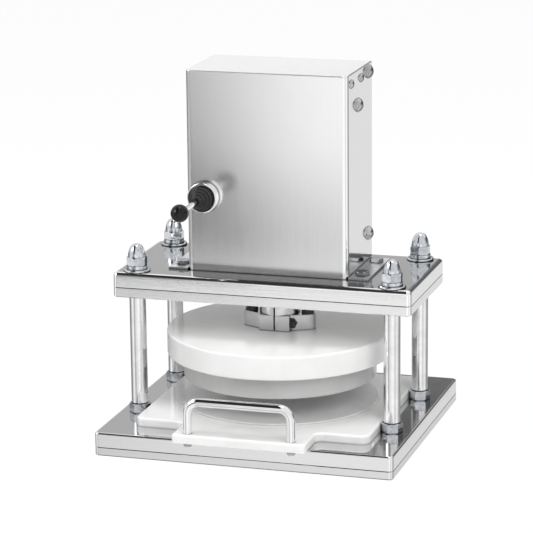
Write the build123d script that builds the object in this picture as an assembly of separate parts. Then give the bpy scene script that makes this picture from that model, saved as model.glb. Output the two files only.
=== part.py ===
from build123d import *
import math
import os

# Electric table-top dough press. A geared motor turns a lead screw, the screw drives a ram down
# through the top plate, and the ram presses two white discs onto a pull-out tray.
# Millimetres, +Z up, +X to the operator's right, +Y to the back. The origin lies on the press
# axis, on the surface that the machine stands on.

# Base: a thick bottom plate under a folded stainless cover, slightly narrower than the top plate
base_narrowing = 2.0
base_depth = 282.0
base_center_y = 1.0
base_plate_thickness = 9.0
base_cover_height = 15.0
base_bend_radius = 2.0

# Top plate: the same construction, carried by the columns
top_width = 312.0
top_depth = 143.0
top_center_y = -1.0
top_plate_thickness = 10.5
top_cover_height = 15.5
top_bend_radius = 4.0

# Folded sheet and plate edges, shared by base and top plate
cover_sheet = 1.5
plate_corner_radius = 4.5
plate_edge_chamfer = 0.9

# Columns with a threaded stud at each end
column_diameter = 17.0
column_length = 114.0
column_chamfer = 0.8
column_edge_distance_x = 22.0
column_edge_distance_y = 12.5
stud_diameter = 12.0
stud_floor_gap = 0.5
stud_reach_in_cap_nut = 13.0

# Nuts and washers on the studs
column_nut_across_flats = 19.0
jam_nut_height = 10.0
jam_nut_turn = 17.0
flat_washer_diameter = 27.5
flat_washer_thickness = 2.2
spring_washer_diameter = 21.1
spring_washer_thickness = 3.8
spring_washer_slit = 1.6
cap_nut_hex_height = 8.8
cap_nut_dome_diameter = 18.0
cap_nut_dome_height = 13.6
cap_nut_tip_radius = 7.6
cap_nut_bore_depth = 16.0
cap_nut_turn = 35.0
nut_chamfer_share = 0.06

# Spacer sleeves and stiffening bars hidden inside the covers
spacer_wall = 3.0
spacer_chamfer = 2.2
stiffener_width = 24.0
stiffener_end_gap = 55.0
stiffener_pitch = 60.0
stiffener_count = 3

# Pull-out tray with its round pad and handle
tray_side_clearance = 0.5
tray_depth = 218.0
tray_thickness = 9.0
tray_corner_radius = 10.0
tray_edge_rounding = 2.4
tab_width = 138.0
tab_corner_radius = 4.0
tab_inner_radius = 8.0
tab_margin = 7.0
tray_stop_gap = 0.4
pad_diameter = 204.0
pad_thickness = 4.0
pad_recess = 2.0
pad_edge_rounding = 0.5
handle_rod_diameter = 9.0
handle_leg_spacing = 107.0
handle_height = 37.5
handle_bend_radius = 12.0
handle_stud_diameter = 5.0
handle_stud_tail = 1.2
handle_nut_across_flats = 8.0
handle_nut_height = 4.0

# Pressing head
press_gap = 24.8
stroke_down = 23.0
stroke_up = 12.0
lower_disc_diameter = 200.0
lower_disc_thickness = 24.0
upper_disc_diameter = 233.0
upper_disc_thickness = 25.0
disc_edge_rounding = 2.0
clamp_ear_pitch = 60.0
clamp_ear_radius = 8.0
clamp_height = 16.3
clamp_hub_diameter = 41.0
clamp_hub_height = 25.0
clamp_block_width = 32.0
clamp_block_reach = 21.0
clamp_slit = 1.6
clamp_edge_chamfer = 0.5
clamp_screw_diameter = 5.0
clamp_screw_head_diameter = 8.6
clamp_screw_head_height = 5.0
clamp_screw_cover = 1.4
disc_bolt_diameter = 8.0
disc_bolt_head_diameter = 13.0
disc_bolt_head_height = 8.0
disc_bolt_depth = 15.0
socket_share = 0.5

# Ram and screw drive
ram_diameter = 25.0
ram_bore_diameter = 19.0
ram_plug_height = 12.0
bush_wall = 3.5
bush_flange_diameter = 46.0
bush_flange_thickness = 4.0
drive_nut_height = 30.0
drive_nut_spigot = 8.0
drive_nut_key_width = 6.0
drive_nut_key_height = 18.0
actuator_tube_wall = 3.5
actuator_tube_bore_diameter = 31.0
tube_slot_margin = 3.0
ram_length = 130.0
lead_screw_diameter = 16.0
lead_screw_tail = 8.0
journal_diameter = 15.0
journal_end_gap = 0.5

# Gear pair between the geared motor and the lead screw
gear_module = 1.25
screw_gear_teeth = 50
pinion_teeth = 22
pressure_angle = 20.0
gear_backlash = 0.3
gear_face_width = 12.0
gear_root_share = 1.25
gear_side_gap = 2.0
gear_tip_gap = 1.5
flank_steps = 3
bearing_diameter = 32.0
bearing_height = 10.0
gear_housing_wall = 4.0
gear_housing_floor = 12.0
gear_cover_thickness = 12.0
gear_housing_corner = 8.0
gearbox_screw_diameter = 5.0
gearbox_screw_head_diameter = 8.5
gearbox_screw_head_height = 5.0
gearbox_screw_reach = 10.0
gearbox_screw_pitch_y = 44.0
gearbox_screw_inset = 5.0

# Geared motor beside the lead screw
motor_diameter = 42.0
motor_gearbox_height = 30.0
motor_can_height = 65.0
motor_can_rounding = 3.0
motor_shaft_diameter = 8.0
motor_shaft_depth = 24.0

# Housing of folded sheet
housing_width = 168.6
housing_depth = 96.0
housing_center_y = 4.0
housing_height = 206.5
housing_sheet = 1.5
housing_bend_radius = 5.5
lid_edge_rounding = 1.2
lid_flange_height = 18.0
lid_flange_length = 62.0
back_flange_length = 22.0

# Inner frame that carries the drive and stands on two turned-out feet
frame_sheet = 2.2
frame_depth = 55.0
frame_bend_radius = 5.0
frame_top_drop = 28.5
foot_width = 20.7
foot_depth = 90.5
foot_center_y = 1.25
foot_bolt_inset = 10.0
foot_bolt_pitch = 56.0
foot_bolt_diameter = 8.0
foot_bolt_across_flats = 13.0
foot_bolt_head_height = 3.8
foot_bolt_floor_gap = 1.5

# Domed fasteners on the housing's sides
rivet_head_diameter = 9.8
rivet_head_height = 3.2
rivet_shank_diameter = 4.0
rivet_drop = 8.7
rivet_front_y = -28.5
rivet_rear_y = 9.0
screw_head_diameter = 15.2
screw_head_height = 5.6
screw_shank_diameter = 5.0
screw_shank_length = 7.0
screw_rear_inset = 14.5
screw_upper_drop = 7.0
screw_lower_rise = 29.8
screw_middle_drop = 35.8
screw_middle_y = -2.5

# Lever switch on the front
joystick_edge_distance = 19.3
joystick_rise = 78.0
joystick_body_diameter = 27.0
joystick_body_length = 40.0
joystick_neck_diameter = 26.0
joystick_neck_length = 8.0
joystick_bore_diameter = 19.0
joystick_bore_depth = 20.0
bezel_diameter = 31.0
bezel_length = 11.0
bezel_lip = 1.6
bezel_lip_diameter = 24.0
bezel_edge_rounding = 1.2
boot_rim_thickness = 1.3
boot_shoulder = 4.0
boot_length = 18.0
boot_tip_diameter = 8.5
boot_wall = 1.3
boot_ring_count = 4
boot_ring_depth = 0.9
lever_rod_diameter = 5.0
lever_length = 82.0
lever_hub_diameter = 10.0
lever_hub_width = 8.0
lever_pin_diameter = 3.0
lever_pin_depth = 2.5
knob_diameter = 18.0
knob_neck_flat = 0.6
contact_block_width = 24.0
contact_block_depth = 18.0
contact_block_height = 22.0

# Electrical pieces inside and the cable gland at the back
supply_width = 28.0
supply_depth = 50.0
supply_height = 36.0
supply_clearance = 4.0
terminal_width = 16.0
terminal_depth = 40.0
terminal_height = 40.0
terminal_clearance = 8.0
switch_width = 12.0
switch_thickness = 6.0
switch_height = 20.0
switch_plunger_diameter = 3.0
switch_rail_thickness = 3.0
gland_edge_distance = 38.8
gland_rise = 24.0
gland_bore_diameter = 8.0
gland_thread_diameter = 16.0
gland_thread_length = 9.0
gland_across_flats = 22.0
gland_hex_height = 5.0
gland_cap_diameter = 20.0
gland_cap_height = 14.0
gland_cap_rounding = 3.0
gland_nut_height = 4.0
wire_diameter = 4.0
wire_bend_radius = 9.0
wire_lead = 14.0

# Clearances
running_clearance = 0.05
thread_clearance = 0.1
seat_clearance = 0.05
hole_clearance = 0.5
sheet_gap = 0.3

# Heights that follow from the driving dimensions
base_top_z = base_plate_thickness + base_cover_height
column_low_z = base_top_z + jam_nut_height
top_plate_low_z = column_low_z + column_length
top_cover_low_z = top_plate_low_z + top_plate_thickness
deck_z = top_cover_low_z + top_cover_height
flat_washer_top_z = deck_z + flat_washer_thickness
cap_nut_low_z = flat_washer_top_z + spring_washer_thickness
tray_top_z = base_top_z + tray_thickness
pad_top_z = tray_top_z - pad_recess + pad_thickness
lower_disc_z = pad_top_z + press_gap
upper_disc_z = lower_disc_z + lower_disc_thickness
clamp_z = upper_disc_z + upper_disc_thickness
ram_top_z = clamp_z + ram_length
nut_top_z = ram_top_z + drive_nut_height
lid_top_z = deck_z + housing_height
lid_low_z = lid_top_z - housing_sheet
bridge_top_z = lid_top_z - frame_top_drop
gear_cover_top_z = bridge_top_z - frame_sheet
gear_housing_top_z = gear_cover_top_z - gear_cover_thickness
gear_low_z = gear_housing_top_z - gear_side_gap - gear_face_width
gear_floor_z = gear_low_z - gear_side_gap
gear_housing_low_z = gear_floor_z - gear_housing_floor
bush_flange_top_z = top_cover_low_z + bush_flange_thickness
foot_top_z = deck_z + frame_sheet

# Places across the machine that follow from the driving dimensions
base_width = top_width - base_narrowing
stiffener_length = base_width - 2 * stiffener_end_gap
column_spacing_x = top_width - 2 * column_edge_distance_x
column_spacing_y = top_depth - 2 * column_edge_distance_y
column_nut_across_corners = column_nut_across_flats * 2 / math.sqrt(3.0)
tray_width = column_spacing_x - column_nut_across_corners - 2 * tray_side_clearance
base_front_y = base_center_y - base_depth / 2
handle_nut_radius = handle_nut_across_flats / math.sqrt(3.0)
handle_leg_y = base_front_y - handle_nut_radius - tray_stop_gap
tab_front_y = handle_leg_y - tab_margin
housing_front_y = housing_center_y - housing_depth / 2
housing_back_y = housing_center_y + housing_depth / 2
wall_inner_x = housing_width / 2 - housing_sheet
frame_outer_x = wall_inner_x - sheet_gap
frame_inner_x = frame_outer_x - frame_sheet
foot_outer_x = housing_width / 2 + foot_width
foot_front_y = foot_center_y - foot_depth / 2
foot_back_y = foot_center_y + foot_depth / 2
frame_front_y = -frame_depth / 2
frame_back_y = frame_depth / 2
back_flange_front_y = housing_back_y - back_flange_length
screw_y = housing_back_y - screw_rear_inset
motor_x = gear_module * (screw_gear_teeth + pinion_teeth) / 2
tube_radius = actuator_tube_bore_diameter / 2 + actuator_tube_wall
joystick_x = joystick_edge_distance - housing_width / 2
joystick_z = deck_z + joystick_rise
panel_inner_y = housing_front_y + housing_sheet
neck_front_y = housing_front_y - joystick_neck_length
bezel_front_y = housing_front_y - bezel_length
lever_pivot_y = neck_front_y + joystick_bore_depth / 2
contact_back_y = panel_inner_y + joystick_body_length + contact_block_depth
column_corners = {
    "front_left": (-1, -1),
    "front_right": (1, -1),
    "rear_left": (-1, 1),
    "rear_right": (1, 1),
}


def block(x_low, x_high, y_low, y_high, z_low, z_high):
    """Rectangular block between three pairs of limits."""
    center = Pos((x_low + x_high) / 2, (y_low + y_high) / 2, (z_low + z_high) / 2)
    return center * Box(x_high - x_low, y_high - y_low, z_high - z_low)


def rod(diameter, z_low, z_high, x=0.0, y=0.0):
    """Upright cylinder between two heights."""
    return Pos(x, y, (z_low + z_high) / 2) * Cylinder(diameter / 2, z_high - z_low)


def sleeve(outer_diameter, inner_diameter, z_low, z_high, x=0.0, y=0.0):
    """Upright tube between two heights."""
    return rod(outer_diameter, z_low, z_high, x, y) - rod(inner_diameter, z_low, z_high, x, y)


def slab(width, depth, corner_radius, z_low, z_high, x=0.0, y=0.0):
    """Plate with rounded upright corners."""
    profile = RectangleRounded(width, depth, corner_radius)
    return Pos(x, y, z_low) * extrude(profile, z_high - z_low)


def highest_edges(shape):
    """Edges of the topmost face."""
    return shape.faces().sort_by(Axis.Z)[-1].edges()


def lowest_edges(shape):
    """Edges of the bottom face."""
    return shape.faces().sort_by(Axis.Z)[0].edges()


def hex_prism(across_flats, height, turn=0.0):
    """Hexagonal prism on the ground plane."""
    profile = RegularPolygon(across_flats / 2, 6, major_radius=False, rotation=turn)
    return extrude(profile, height)


def chamfered_hex(across_flats, height, turn=0.0):
    """Hexagonal prism whose top and bottom corners are turned off."""
    across_corners = across_flats * 2 / math.sqrt(3.0)
    limit = rod(across_corners, 0.0, height)
    cut = across_flats * nut_chamfer_share
    limit = chamfer(limit.edges().filter_by(GeomType.CIRCLE), cut)
    return hex_prism(across_flats, height, turn) & limit


def pointed_dome(diameter, height, tip_radius):
    """Ogive on the ground plane: a curved flank that runs smoothly into a round tip."""
    rise = height - tip_radius
    lean = 2 * math.atan((diameter / 2 - tip_radius) / rise)
    reach = rise / math.tan(lean)
    turned = math.degrees(lean)
    flank = CenterArc((-reach, 0), reach + diameter / 2, 0, turned)
    tip = CenterArc((0, rise), tip_radius, turned, 90 - turned)
    outline = Line((0, 0), (diameter / 2, 0)) + flank + tip + Line((0, height), (0, 0))
    return revolve(Plane.XZ * make_face(outline), Axis.Z)


def dome(diameter, height):
    """Spherical cap on the ground plane."""
    sphere_radius = ((diameter / 2) ** 2 + height ** 2) / (2 * height)
    ball = Pos(0, 0, height - sphere_radius) * Sphere(sphere_radius)
    return ball & rod(2 * diameter, 0.0, height)


def socket_screw(diameter, length, head_diameter, head_height):
    """Cap screw with a hexagon socket, head up, its head resting on the ground plane."""
    head = rod(head_diameter, 0.0, head_height)
    socket_depth = head_height * socket_share
    socket = Pos(0, 0, head_height - socket_depth) * hex_prism(head_diameter * socket_share, socket_depth)
    return head - socket + rod(diameter, -length, 0.0)


def group(shapes):
    """Several separate solids in one node."""
    return Compound(children=shapes)


def at_columns(shape):
    """One copy of a shape at each column."""
    places = [(sx * column_spacing_x / 2, sy * column_spacing_y / 2) for sx, sy in column_corners.values()]
    return [Pos(x, y, 0) * shape for x, y in places]


def at_foot_bolts(shape):
    """One copy of a shape at each bolt of the frame's feet."""
    x = foot_outer_x - foot_bolt_inset
    half_pitch = foot_bolt_pitch / 2
    places = [(sx * x, foot_center_y + sy * half_pitch) for sx in (-1, 1) for sy in (-1, 1)]
    return [Pos(px, py, 0) * shape for px, py in places]


def cut_all(shape, cutters):
    """A shape less every cutter in a list."""
    for cutter in cutters:
        shape = shape - cutter
    return shape


def edged_plate(width, depth, z_low, z_high, y):
    """Thick plate with rounded corners and chamfered edges."""
    plate = slab(width, depth, plate_corner_radius, z_low, z_high, 0.0, y)
    return chamfer(highest_edges(plate) + lowest_edges(plate), plate_edge_chamfer)


def folded_cover(width, depth, z_low, z_high, y, bend_radius):
    """Sheet folded down on four sides and open underneath."""
    outer = slab(width, depth, plate_corner_radius, z_low, z_high, 0.0, y)
    outer = fillet(highest_edges(outer), bend_radius)
    inner_width = width - 2 * cover_sheet
    inner_depth = depth - 2 * cover_sheet
    inner_corner = plate_corner_radius - cover_sheet
    inner = slab(inner_width, inner_depth, inner_corner, z_low, z_high - cover_sheet, 0.0, y)
    inner = fillet(highest_edges(inner), bend_radius - cover_sheet)
    return outer - inner


def make_base_plate():
    """Bottom plate, tapped for the column studs."""
    plate = edged_plate(base_width, base_depth, 0.0, base_plate_thickness, base_center_y)
    hole = rod(stud_diameter + 2 * thread_clearance, 0.0, base_plate_thickness)
    return cut_all(plate, at_columns(hole))


def make_base_cover():
    """Folded cover of the base, pierced for the column studs."""
    cover = folded_cover(
        base_width, base_depth, base_plate_thickness, base_top_z, base_center_y, base_bend_radius
    )
    hole = rod(stud_diameter + 2 * hole_clearance, base_plate_thickness, base_top_z)
    return cut_all(cover, at_columns(hole))


def stud_spacer(z_low, z_high):
    """Sleeve around a stud that keeps the cover from buckling, chamfered to clear the bend."""
    bore = stud_diameter + 2 * hole_clearance
    body = rod(bore + 2 * spacer_wall, z_low, z_high)
    body = chamfer(highest_edges(body), spacer_chamfer)
    return body - rod(bore, z_low, z_high)


def make_base_spacers():
    """Sleeves around the studs inside the base."""
    return group(at_columns(stud_spacer(base_plate_thickness, base_top_z - cover_sheet)))


def make_base_stiffeners():
    """Bars that carry the pressing load from the cover to the bottom plate."""
    bars = []
    for index in range(stiffener_count):
        y = (index - (stiffener_count - 1) / 2) * stiffener_pitch
        bars.append(block(-stiffener_length / 2, stiffener_length / 2,
                          y - stiffener_width / 2, y + stiffener_width / 2,
                          base_plate_thickness, base_top_z - cover_sheet))
    return group(bars)


def make_column():
    """Polished rod with a stud at each end, on the press axis."""
    body = rod(column_diameter, column_low_z, top_plate_low_z)
    body = chamfer(body.edges().filter_by(GeomType.CIRCLE), column_chamfer)
    lower_stud = rod(stud_diameter, stud_floor_gap, column_low_z)
    upper_stud = rod(stud_diameter, top_plate_low_z, cap_nut_low_z + stud_reach_in_cap_nut)
    return body + lower_stud + upper_stud


def make_jam_nuts():
    """Hexagon nuts that lock the columns on the base."""
    nut = chamfered_hex(column_nut_across_flats, jam_nut_height, jam_nut_turn)
    nut = nut - rod(stud_diameter + 2 * thread_clearance, 0.0, jam_nut_height)
    return group(at_columns(Pos(0, 0, base_top_z) * nut))


def make_flat_washers():
    """Wide washers under the cap nuts."""
    bore = stud_diameter + 2 * hole_clearance
    washer = sleeve(flat_washer_diameter, bore, deck_z, flat_washer_top_z)
    rim = washer.edges().filter_by(GeomType.CIRCLE).sort_by(SortBy.LENGTH)[-2:]
    return group(at_columns(chamfer(rim, flat_washer_thickness / 4)))


def make_spring_washers():
    """Split lock washers under the cap nuts."""
    bore = stud_diameter + 2 * thread_clearance
    ring = sleeve(spring_washer_diameter, bore, flat_washer_top_z, cap_nut_low_z)
    slit = block(0.0, spring_washer_diameter, -spring_washer_slit / 2, spring_washer_slit / 2,
                 flat_washer_top_z, cap_nut_low_z)
    return group(at_columns(ring - slit))


def make_cap_nuts():
    """Domed cap nuts that hold the top plate on the columns."""
    hexagon = chamfered_hex(column_nut_across_flats, cap_nut_hex_height, cap_nut_turn)
    cap = pointed_dome(cap_nut_dome_diameter, cap_nut_dome_height, cap_nut_tip_radius)
    cap = Pos(0, 0, cap_nut_hex_height) * cap
    bore = rod(stud_diameter + 2 * thread_clearance, 0.0, cap_nut_bore_depth)
    return group(at_columns(Pos(0, 0, cap_nut_low_z) * (hexagon + cap - bore)))


def make_top_plate():
    """Thick plate on the columns, with the bush bore and tapped holes for the feet."""
    plate = edged_plate(top_width, top_depth, top_plate_low_z, top_cover_low_z, top_center_y)
    stud_hole = rod(stud_diameter + 2 * thread_clearance, top_plate_low_z, top_cover_low_z)
    bolt_hole = rod(foot_bolt_diameter + 2 * thread_clearance, top_plate_low_z, top_cover_low_z)
    bush_diameter = ram_diameter + 2 * bush_wall
    bush_hole = rod(bush_diameter + 2 * seat_clearance, top_plate_low_z, top_cover_low_z)
    return cut_all(plate, at_columns(stud_hole) + at_foot_bolts(bolt_hole) + [bush_hole])


def make_top_cover():
    """Folded cover of the top plate, open around the drive's tube."""
    cover = folded_cover(top_width, top_depth, top_cover_low_z, deck_z, top_center_y, top_bend_radius)
    stud_hole = rod(stud_diameter + 2 * hole_clearance, top_cover_low_z, deck_z)
    bolt_hole = rod(foot_bolt_diameter + 2 * hole_clearance, top_cover_low_z, deck_z)
    tube_hole = rod(2 * (tube_radius + hole_clearance), top_cover_low_z, deck_z)
    return cut_all(cover, at_columns(stud_hole) + at_foot_bolts(bolt_hole) + [tube_hole])


def make_top_spacers():
    """Sleeves inside the top cover, around the studs and the foot bolts."""
    z_high = deck_z - cover_sheet
    bolt_bore = foot_bolt_diameter + 2 * hole_clearance
    bolt_spacer = sleeve(bolt_bore + 2 * spacer_wall, bolt_bore, top_cover_low_z, z_high)
    return group(at_columns(stud_spacer(top_cover_low_z, z_high)) + at_foot_bolts(bolt_spacer))


def make_guide_bush():
    """Flanged bronze bush that guides the ram through the top plate."""
    barrel = rod(ram_diameter + 2 * bush_wall, top_plate_low_z, top_cover_low_z)
    flange = rod(bush_flange_diameter, top_cover_low_z, bush_flange_top_z)
    bore = rod(ram_diameter + 2 * running_clearance, top_plate_low_z, bush_flange_top_z)
    return barrel + flange - bore


def make_tray_plate():
    """White plate that slides on the base, with a tab at the front for the handle."""
    tab_length = -tray_depth / 2 - tab_front_y
    tab_center_y = tab_front_y + tab_length / 2
    outline = Rectangle(tray_width, tray_depth) + Pos(0, tab_center_y) * Rectangle(tab_width, tab_length)
    for half_width, y, radius in (
        (tray_width / 2, tray_depth / 2, tray_corner_radius),
        (tray_width / 2, -tray_depth / 2, tray_corner_radius),
        (tab_width / 2, -tray_depth / 2, tab_inner_radius),
        (tab_width / 2, tab_front_y, tab_corner_radius),
    ):
        place = (half_width, y)
        corners = [v for v in outline.vertices() if math.dist((abs(v.X), v.Y), place) < seat_clearance]
        outline = fillet(corners, radius)
    plate = Pos(0, 0, base_top_z) * extrude(outline, tray_thickness)
    plate = fillet(highest_edges(plate), tray_edge_rounding)
    recess = rod(pad_diameter + 2 * seat_clearance, tray_top_z - pad_recess, tray_top_z)
    stud_hole = rod(handle_stud_diameter + 2 * thread_clearance, base_top_z, tray_top_z)
    return cut_all(plate, [recess] + at_handle_legs(stud_hole))


def at_handle_legs(shape):
    """One copy of a shape at each leg of the tray's handle."""
    return [Pos(side * handle_leg_spacing / 2, handle_leg_y, 0) * shape for side in (-1, 1)]


def make_tray_pad():
    """Round pad let into the tray, under the pressing disc."""
    pad = rod(pad_diameter, tray_top_z - pad_recess, pad_top_z)
    return fillet(highest_edges(pad), pad_edge_rounding)


def make_tray_handle():
    """Bent rod handle with a threaded stud under each leg."""
    half_spacing = handle_leg_spacing / 2
    bar_z = tray_top_z + handle_height - handle_rod_diameter / 2
    path = FilletPolyline(
        (-half_spacing, handle_leg_y, tray_top_z),
        (-half_spacing, handle_leg_y, bar_z),
        (half_spacing, handle_leg_y, bar_z),
        (half_spacing, handle_leg_y, tray_top_z),
        radius=handle_bend_radius,
    )
    bow = sweep(Plane(path @ 0, z_dir=path % 0) * Circle(handle_rod_diameter / 2), path=path)
    stud_low_z = base_top_z - handle_nut_height - handle_stud_tail
    left_stud, right_stud = at_handle_legs(rod(handle_stud_diameter, stud_low_z, tray_top_z))
    return bow + left_stud + right_stud


def make_handle_nuts():
    """Nuts under the tab. They meet the base's front edge and stop the tray."""
    nut = chamfered_hex(handle_nut_across_flats, handle_nut_height)
    nut = nut - rod(handle_stud_diameter + 2 * thread_clearance, 0.0, handle_nut_height)
    return group(at_handle_legs(Pos(0, 0, base_top_z - handle_nut_height) * nut))


def at_disc_bolts(shape):
    """One copy of a shape at each bolt of the clamp's ears."""
    return [Pos(side * clamp_ear_pitch / 2, 0, 0) * shape for side in (-1, 1)]


def pressing_disc(diameter, z_low, z_high):
    """White disc with rounded edges."""
    plate = rod(diameter, z_low, z_high)
    return fillet(plate.edges().filter_by(GeomType.CIRCLE), disc_edge_rounding)


def make_lower_disc():
    """Disc that meets the dough, with blind threaded holes in its back."""
    plate = pressing_disc(lower_disc_diameter, lower_disc_z, upper_disc_z)
    hole = rod(disc_bolt_diameter + 2 * thread_clearance, upper_disc_z - disc_bolt_depth, upper_disc_z)
    return cut_all(plate, at_disc_bolts(hole))


def make_upper_disc():
    """Wider backing disc under the clamp."""
    plate = pressing_disc(upper_disc_diameter, upper_disc_z, clamp_z)
    hole = rod(disc_bolt_diameter + 2 * thread_clearance, upper_disc_z, clamp_z)
    return cut_all(plate, at_disc_bolts(hole))


def clamp_screw_y():
    """Place of the clamp screw between the bore and the front of the block."""
    return clamp_screw_diameter / 2 + clamp_screw_cover - clamp_block_reach


def make_shaft_clamp():
    """Eared flange with a slit hub that grips the ram."""
    ear = Circle(clamp_ear_radius)
    ears = [Pos(side * clamp_ear_pitch / 2, 0) * ear for side in (-1, 1)]
    outline = make_hull((Circle(clamp_hub_diameter / 2) + ears[0] + ears[1]).edges())
    half_block = clamp_block_width / 2
    top_z = clamp_z + clamp_height
    flange = Pos(0, 0, clamp_z) * extrude(outline, clamp_height)
    nose = block(-half_block, half_block, -clamp_block_reach, 0.0, clamp_z, top_z)
    body = flange + nose
    body = chamfer(highest_edges(body), clamp_edge_chamfer)
    hub_top_z = clamp_z + clamp_hub_height
    hub = rod(clamp_hub_diameter, clamp_z, hub_top_z)
    body = body + chamfer(highest_edges(hub), clamp_edge_chamfer)
    bore = rod(ram_diameter + 2 * seat_clearance, clamp_z, hub_top_z)
    slit = block(-clamp_slit / 2, clamp_slit / 2, -clamp_block_reach, 0.0, clamp_z, hub_top_z)
    bolt_hole = rod(disc_bolt_diameter + 2 * thread_clearance, clamp_z, top_z)
    cross_hole = Rot(0, 90, 0) * Cylinder(clamp_screw_diameter / 2 + thread_clearance, clamp_block_width)
    head_room_diameter = clamp_screw_head_diameter + 2 * hole_clearance
    head_room = Rot(0, 90, 0) * rod(head_room_diameter, half_block, clamp_ear_pitch / 2)
    screw_place = Pos(0, clamp_screw_y(), clamp_z + clamp_height / 2)
    cutters = [bore, slit, screw_place * cross_hole, screw_place * head_room]
    return cut_all(body, cutters + at_disc_bolts(bolt_hole))


def make_clamp_screw():
    """Cap screw that closes the clamp's slit."""
    screw = socket_screw(clamp_screw_diameter, clamp_block_width,
                         clamp_screw_head_diameter, clamp_screw_head_height)
    place = Pos(clamp_block_width / 2, clamp_screw_y(), clamp_z + clamp_height / 2)
    return place * Rot(0, 90, 0) * screw


def make_disc_bolts():
    """Cap screws through the ears and the upper disc into the lower disc."""
    length = clamp_height + upper_disc_thickness + disc_bolt_depth - hole_clearance
    screw = socket_screw(disc_bolt_diameter, length, disc_bolt_head_diameter, disc_bolt_head_height)
    return group(at_disc_bolts(Pos(0, 0, clamp_z + clamp_height) * screw))


def make_ram_tube():
    """Hollow ram, closed at its lower end."""
    body = rod(ram_diameter, clamp_z, ram_top_z)
    return body - rod(ram_bore_diameter, clamp_z + ram_plug_height, ram_top_z)


def make_drive_nut():
    """Bronze nut on the ram, with a key that keeps the ram from turning."""
    body = rod(actuator_tube_bore_diameter - 2 * running_clearance, ram_top_z, nut_top_z)
    spigot = rod(ram_bore_diameter - 2 * seat_clearance, ram_top_z - drive_nut_spigot, ram_top_z)
    key_middle_z = (ram_top_z + nut_top_z) / 2
    key = block(-drive_nut_key_width / 2, drive_nut_key_width / 2,
                -actuator_tube_bore_diameter / 2 - actuator_tube_wall / 2, 0.0,
                key_middle_z - drive_nut_key_height / 2, key_middle_z + drive_nut_key_height / 2)
    bore = rod(lead_screw_diameter + 2 * running_clearance, ram_top_z - drive_nut_spigot, nut_top_z)
    return body + spigot + key - bore


def make_actuator_tube():
    """Guide tube around the ram, with a slot for the nut's key and two switch holes."""
    tube = sleeve(2 * tube_radius, actuator_tube_bore_diameter, bush_flange_top_z, gear_housing_low_z)
    half_slot = drive_nut_key_width / 2 + thread_clearance
    key_middle_z = (ram_top_z + nut_top_z) / 2
    half_key = drive_nut_key_height / 2
    slot = block(-half_slot, half_slot, -tube_radius, 0.0,
                 key_middle_z - half_key - stroke_down - tube_slot_margin,
                 key_middle_z + half_key + stroke_up + tube_slot_margin)
    plunger_hole = Rot(90, 0, 0) * Cylinder(switch_plunger_diameter / 2 + thread_clearance, tube_radius,
                                            align=(Align.CENTER, Align.CENTER, Align.MAX))
    return cut_all(tube, [slot] + [Pos(0, 0, z) * plunger_hole for z in switch_heights()])


def switch_heights():
    """Heights of the limit switches, at the ends of the nut's travel."""
    return ram_top_z - stroke_down + switch_height / 2, nut_top_z + stroke_up - switch_height / 2


def make_limit_switches():
    """Switches that the nut trips at each end of its travel."""
    plunger_length = actuator_tube_wall - sheet_gap
    switches = []
    for z in switch_heights():
        body = block(-switch_width / 2, switch_width / 2, tube_radius, tube_radius + switch_thickness,
                     z - switch_height / 2, z + switch_height / 2)
        plunger = Rot(90, 0, 0) * Cylinder(switch_plunger_diameter / 2, plunger_length,
                                           align=(Align.CENTER, Align.CENTER, Align.MIN))
        switches.append(body + Pos(0, tube_radius, z) * plunger)
    return group(switches)


def make_switch_rail():
    """Strip under the gear housing that holds the limit switches."""
    front_y = tube_radius + switch_thickness
    lower_z = switch_heights()[0] - switch_height / 2
    return block(-switch_width / 2, switch_width / 2, front_y, front_y + switch_rail_thickness,
                 lower_z, gear_housing_low_z)


def make_lead_screw():
    """Lead screw with a turned journal, its thread drawn at the major diameter."""
    low_z = ram_top_z - stroke_down - lead_screw_tail
    thread = rod(lead_screw_diameter, low_z, gear_housing_low_z)
    journal_top_z = gear_housing_top_z + bearing_height - journal_end_gap
    return thread + rod(journal_diameter, gear_housing_low_z, journal_top_z)


def involute_angle(base_radius, radius):
    """Polar angle of an involute at a radius, in radians."""
    roll = math.sqrt(max((radius / base_radius) ** 2 - 1.0, 0.0))
    return roll - math.atan(roll)


def gear_outline(teeth):
    """Closed outline of an involute gear, with one tooth on the X axis."""
    pitch_radius = gear_module * teeth / 2
    base_radius = pitch_radius * math.cos(math.radians(pressure_angle))
    tip_radius = pitch_radius + gear_module
    root_radius = pitch_radius - gear_root_share * gear_module
    start_radius = max(base_radius, root_radius)
    half_tooth = math.pi / (2 * teeth) - gear_backlash / (4 * pitch_radius)
    half_tooth += involute_angle(base_radius, pitch_radius)
    flank = [(root_radius, half_tooth - involute_angle(base_radius, start_radius))]
    for step in range(flank_steps + 1):
        radius = start_radius + (tip_radius - start_radius) * step / flank_steps
        if radius > root_radius:
            flank.append((radius, half_tooth - involute_angle(base_radius, radius)))
    points = []
    for tooth in range(teeth):
        middle = 2 * math.pi * tooth / teeth
        rising = [(radius, middle - angle) for radius, angle in flank]
        falling = [(radius, middle + angle) for radius, angle in reversed(flank)]
        points += [(r * math.cos(a), r * math.sin(a)) for r, a in rising + falling]
    return make_face(Polyline(points, close=True))


def spur_gear(teeth, bore_diameter):
    """Spur gear on the ground plane."""
    body = extrude(gear_outline(teeth), gear_face_width)
    return body - rod(bore_diameter + 2 * seat_clearance, 0.0, gear_face_width)


def make_screw_gear():
    """Large gear fixed on the lead screw."""
    return Pos(0, 0, gear_low_z) * spur_gear(screw_gear_teeth, journal_diameter)


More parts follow.
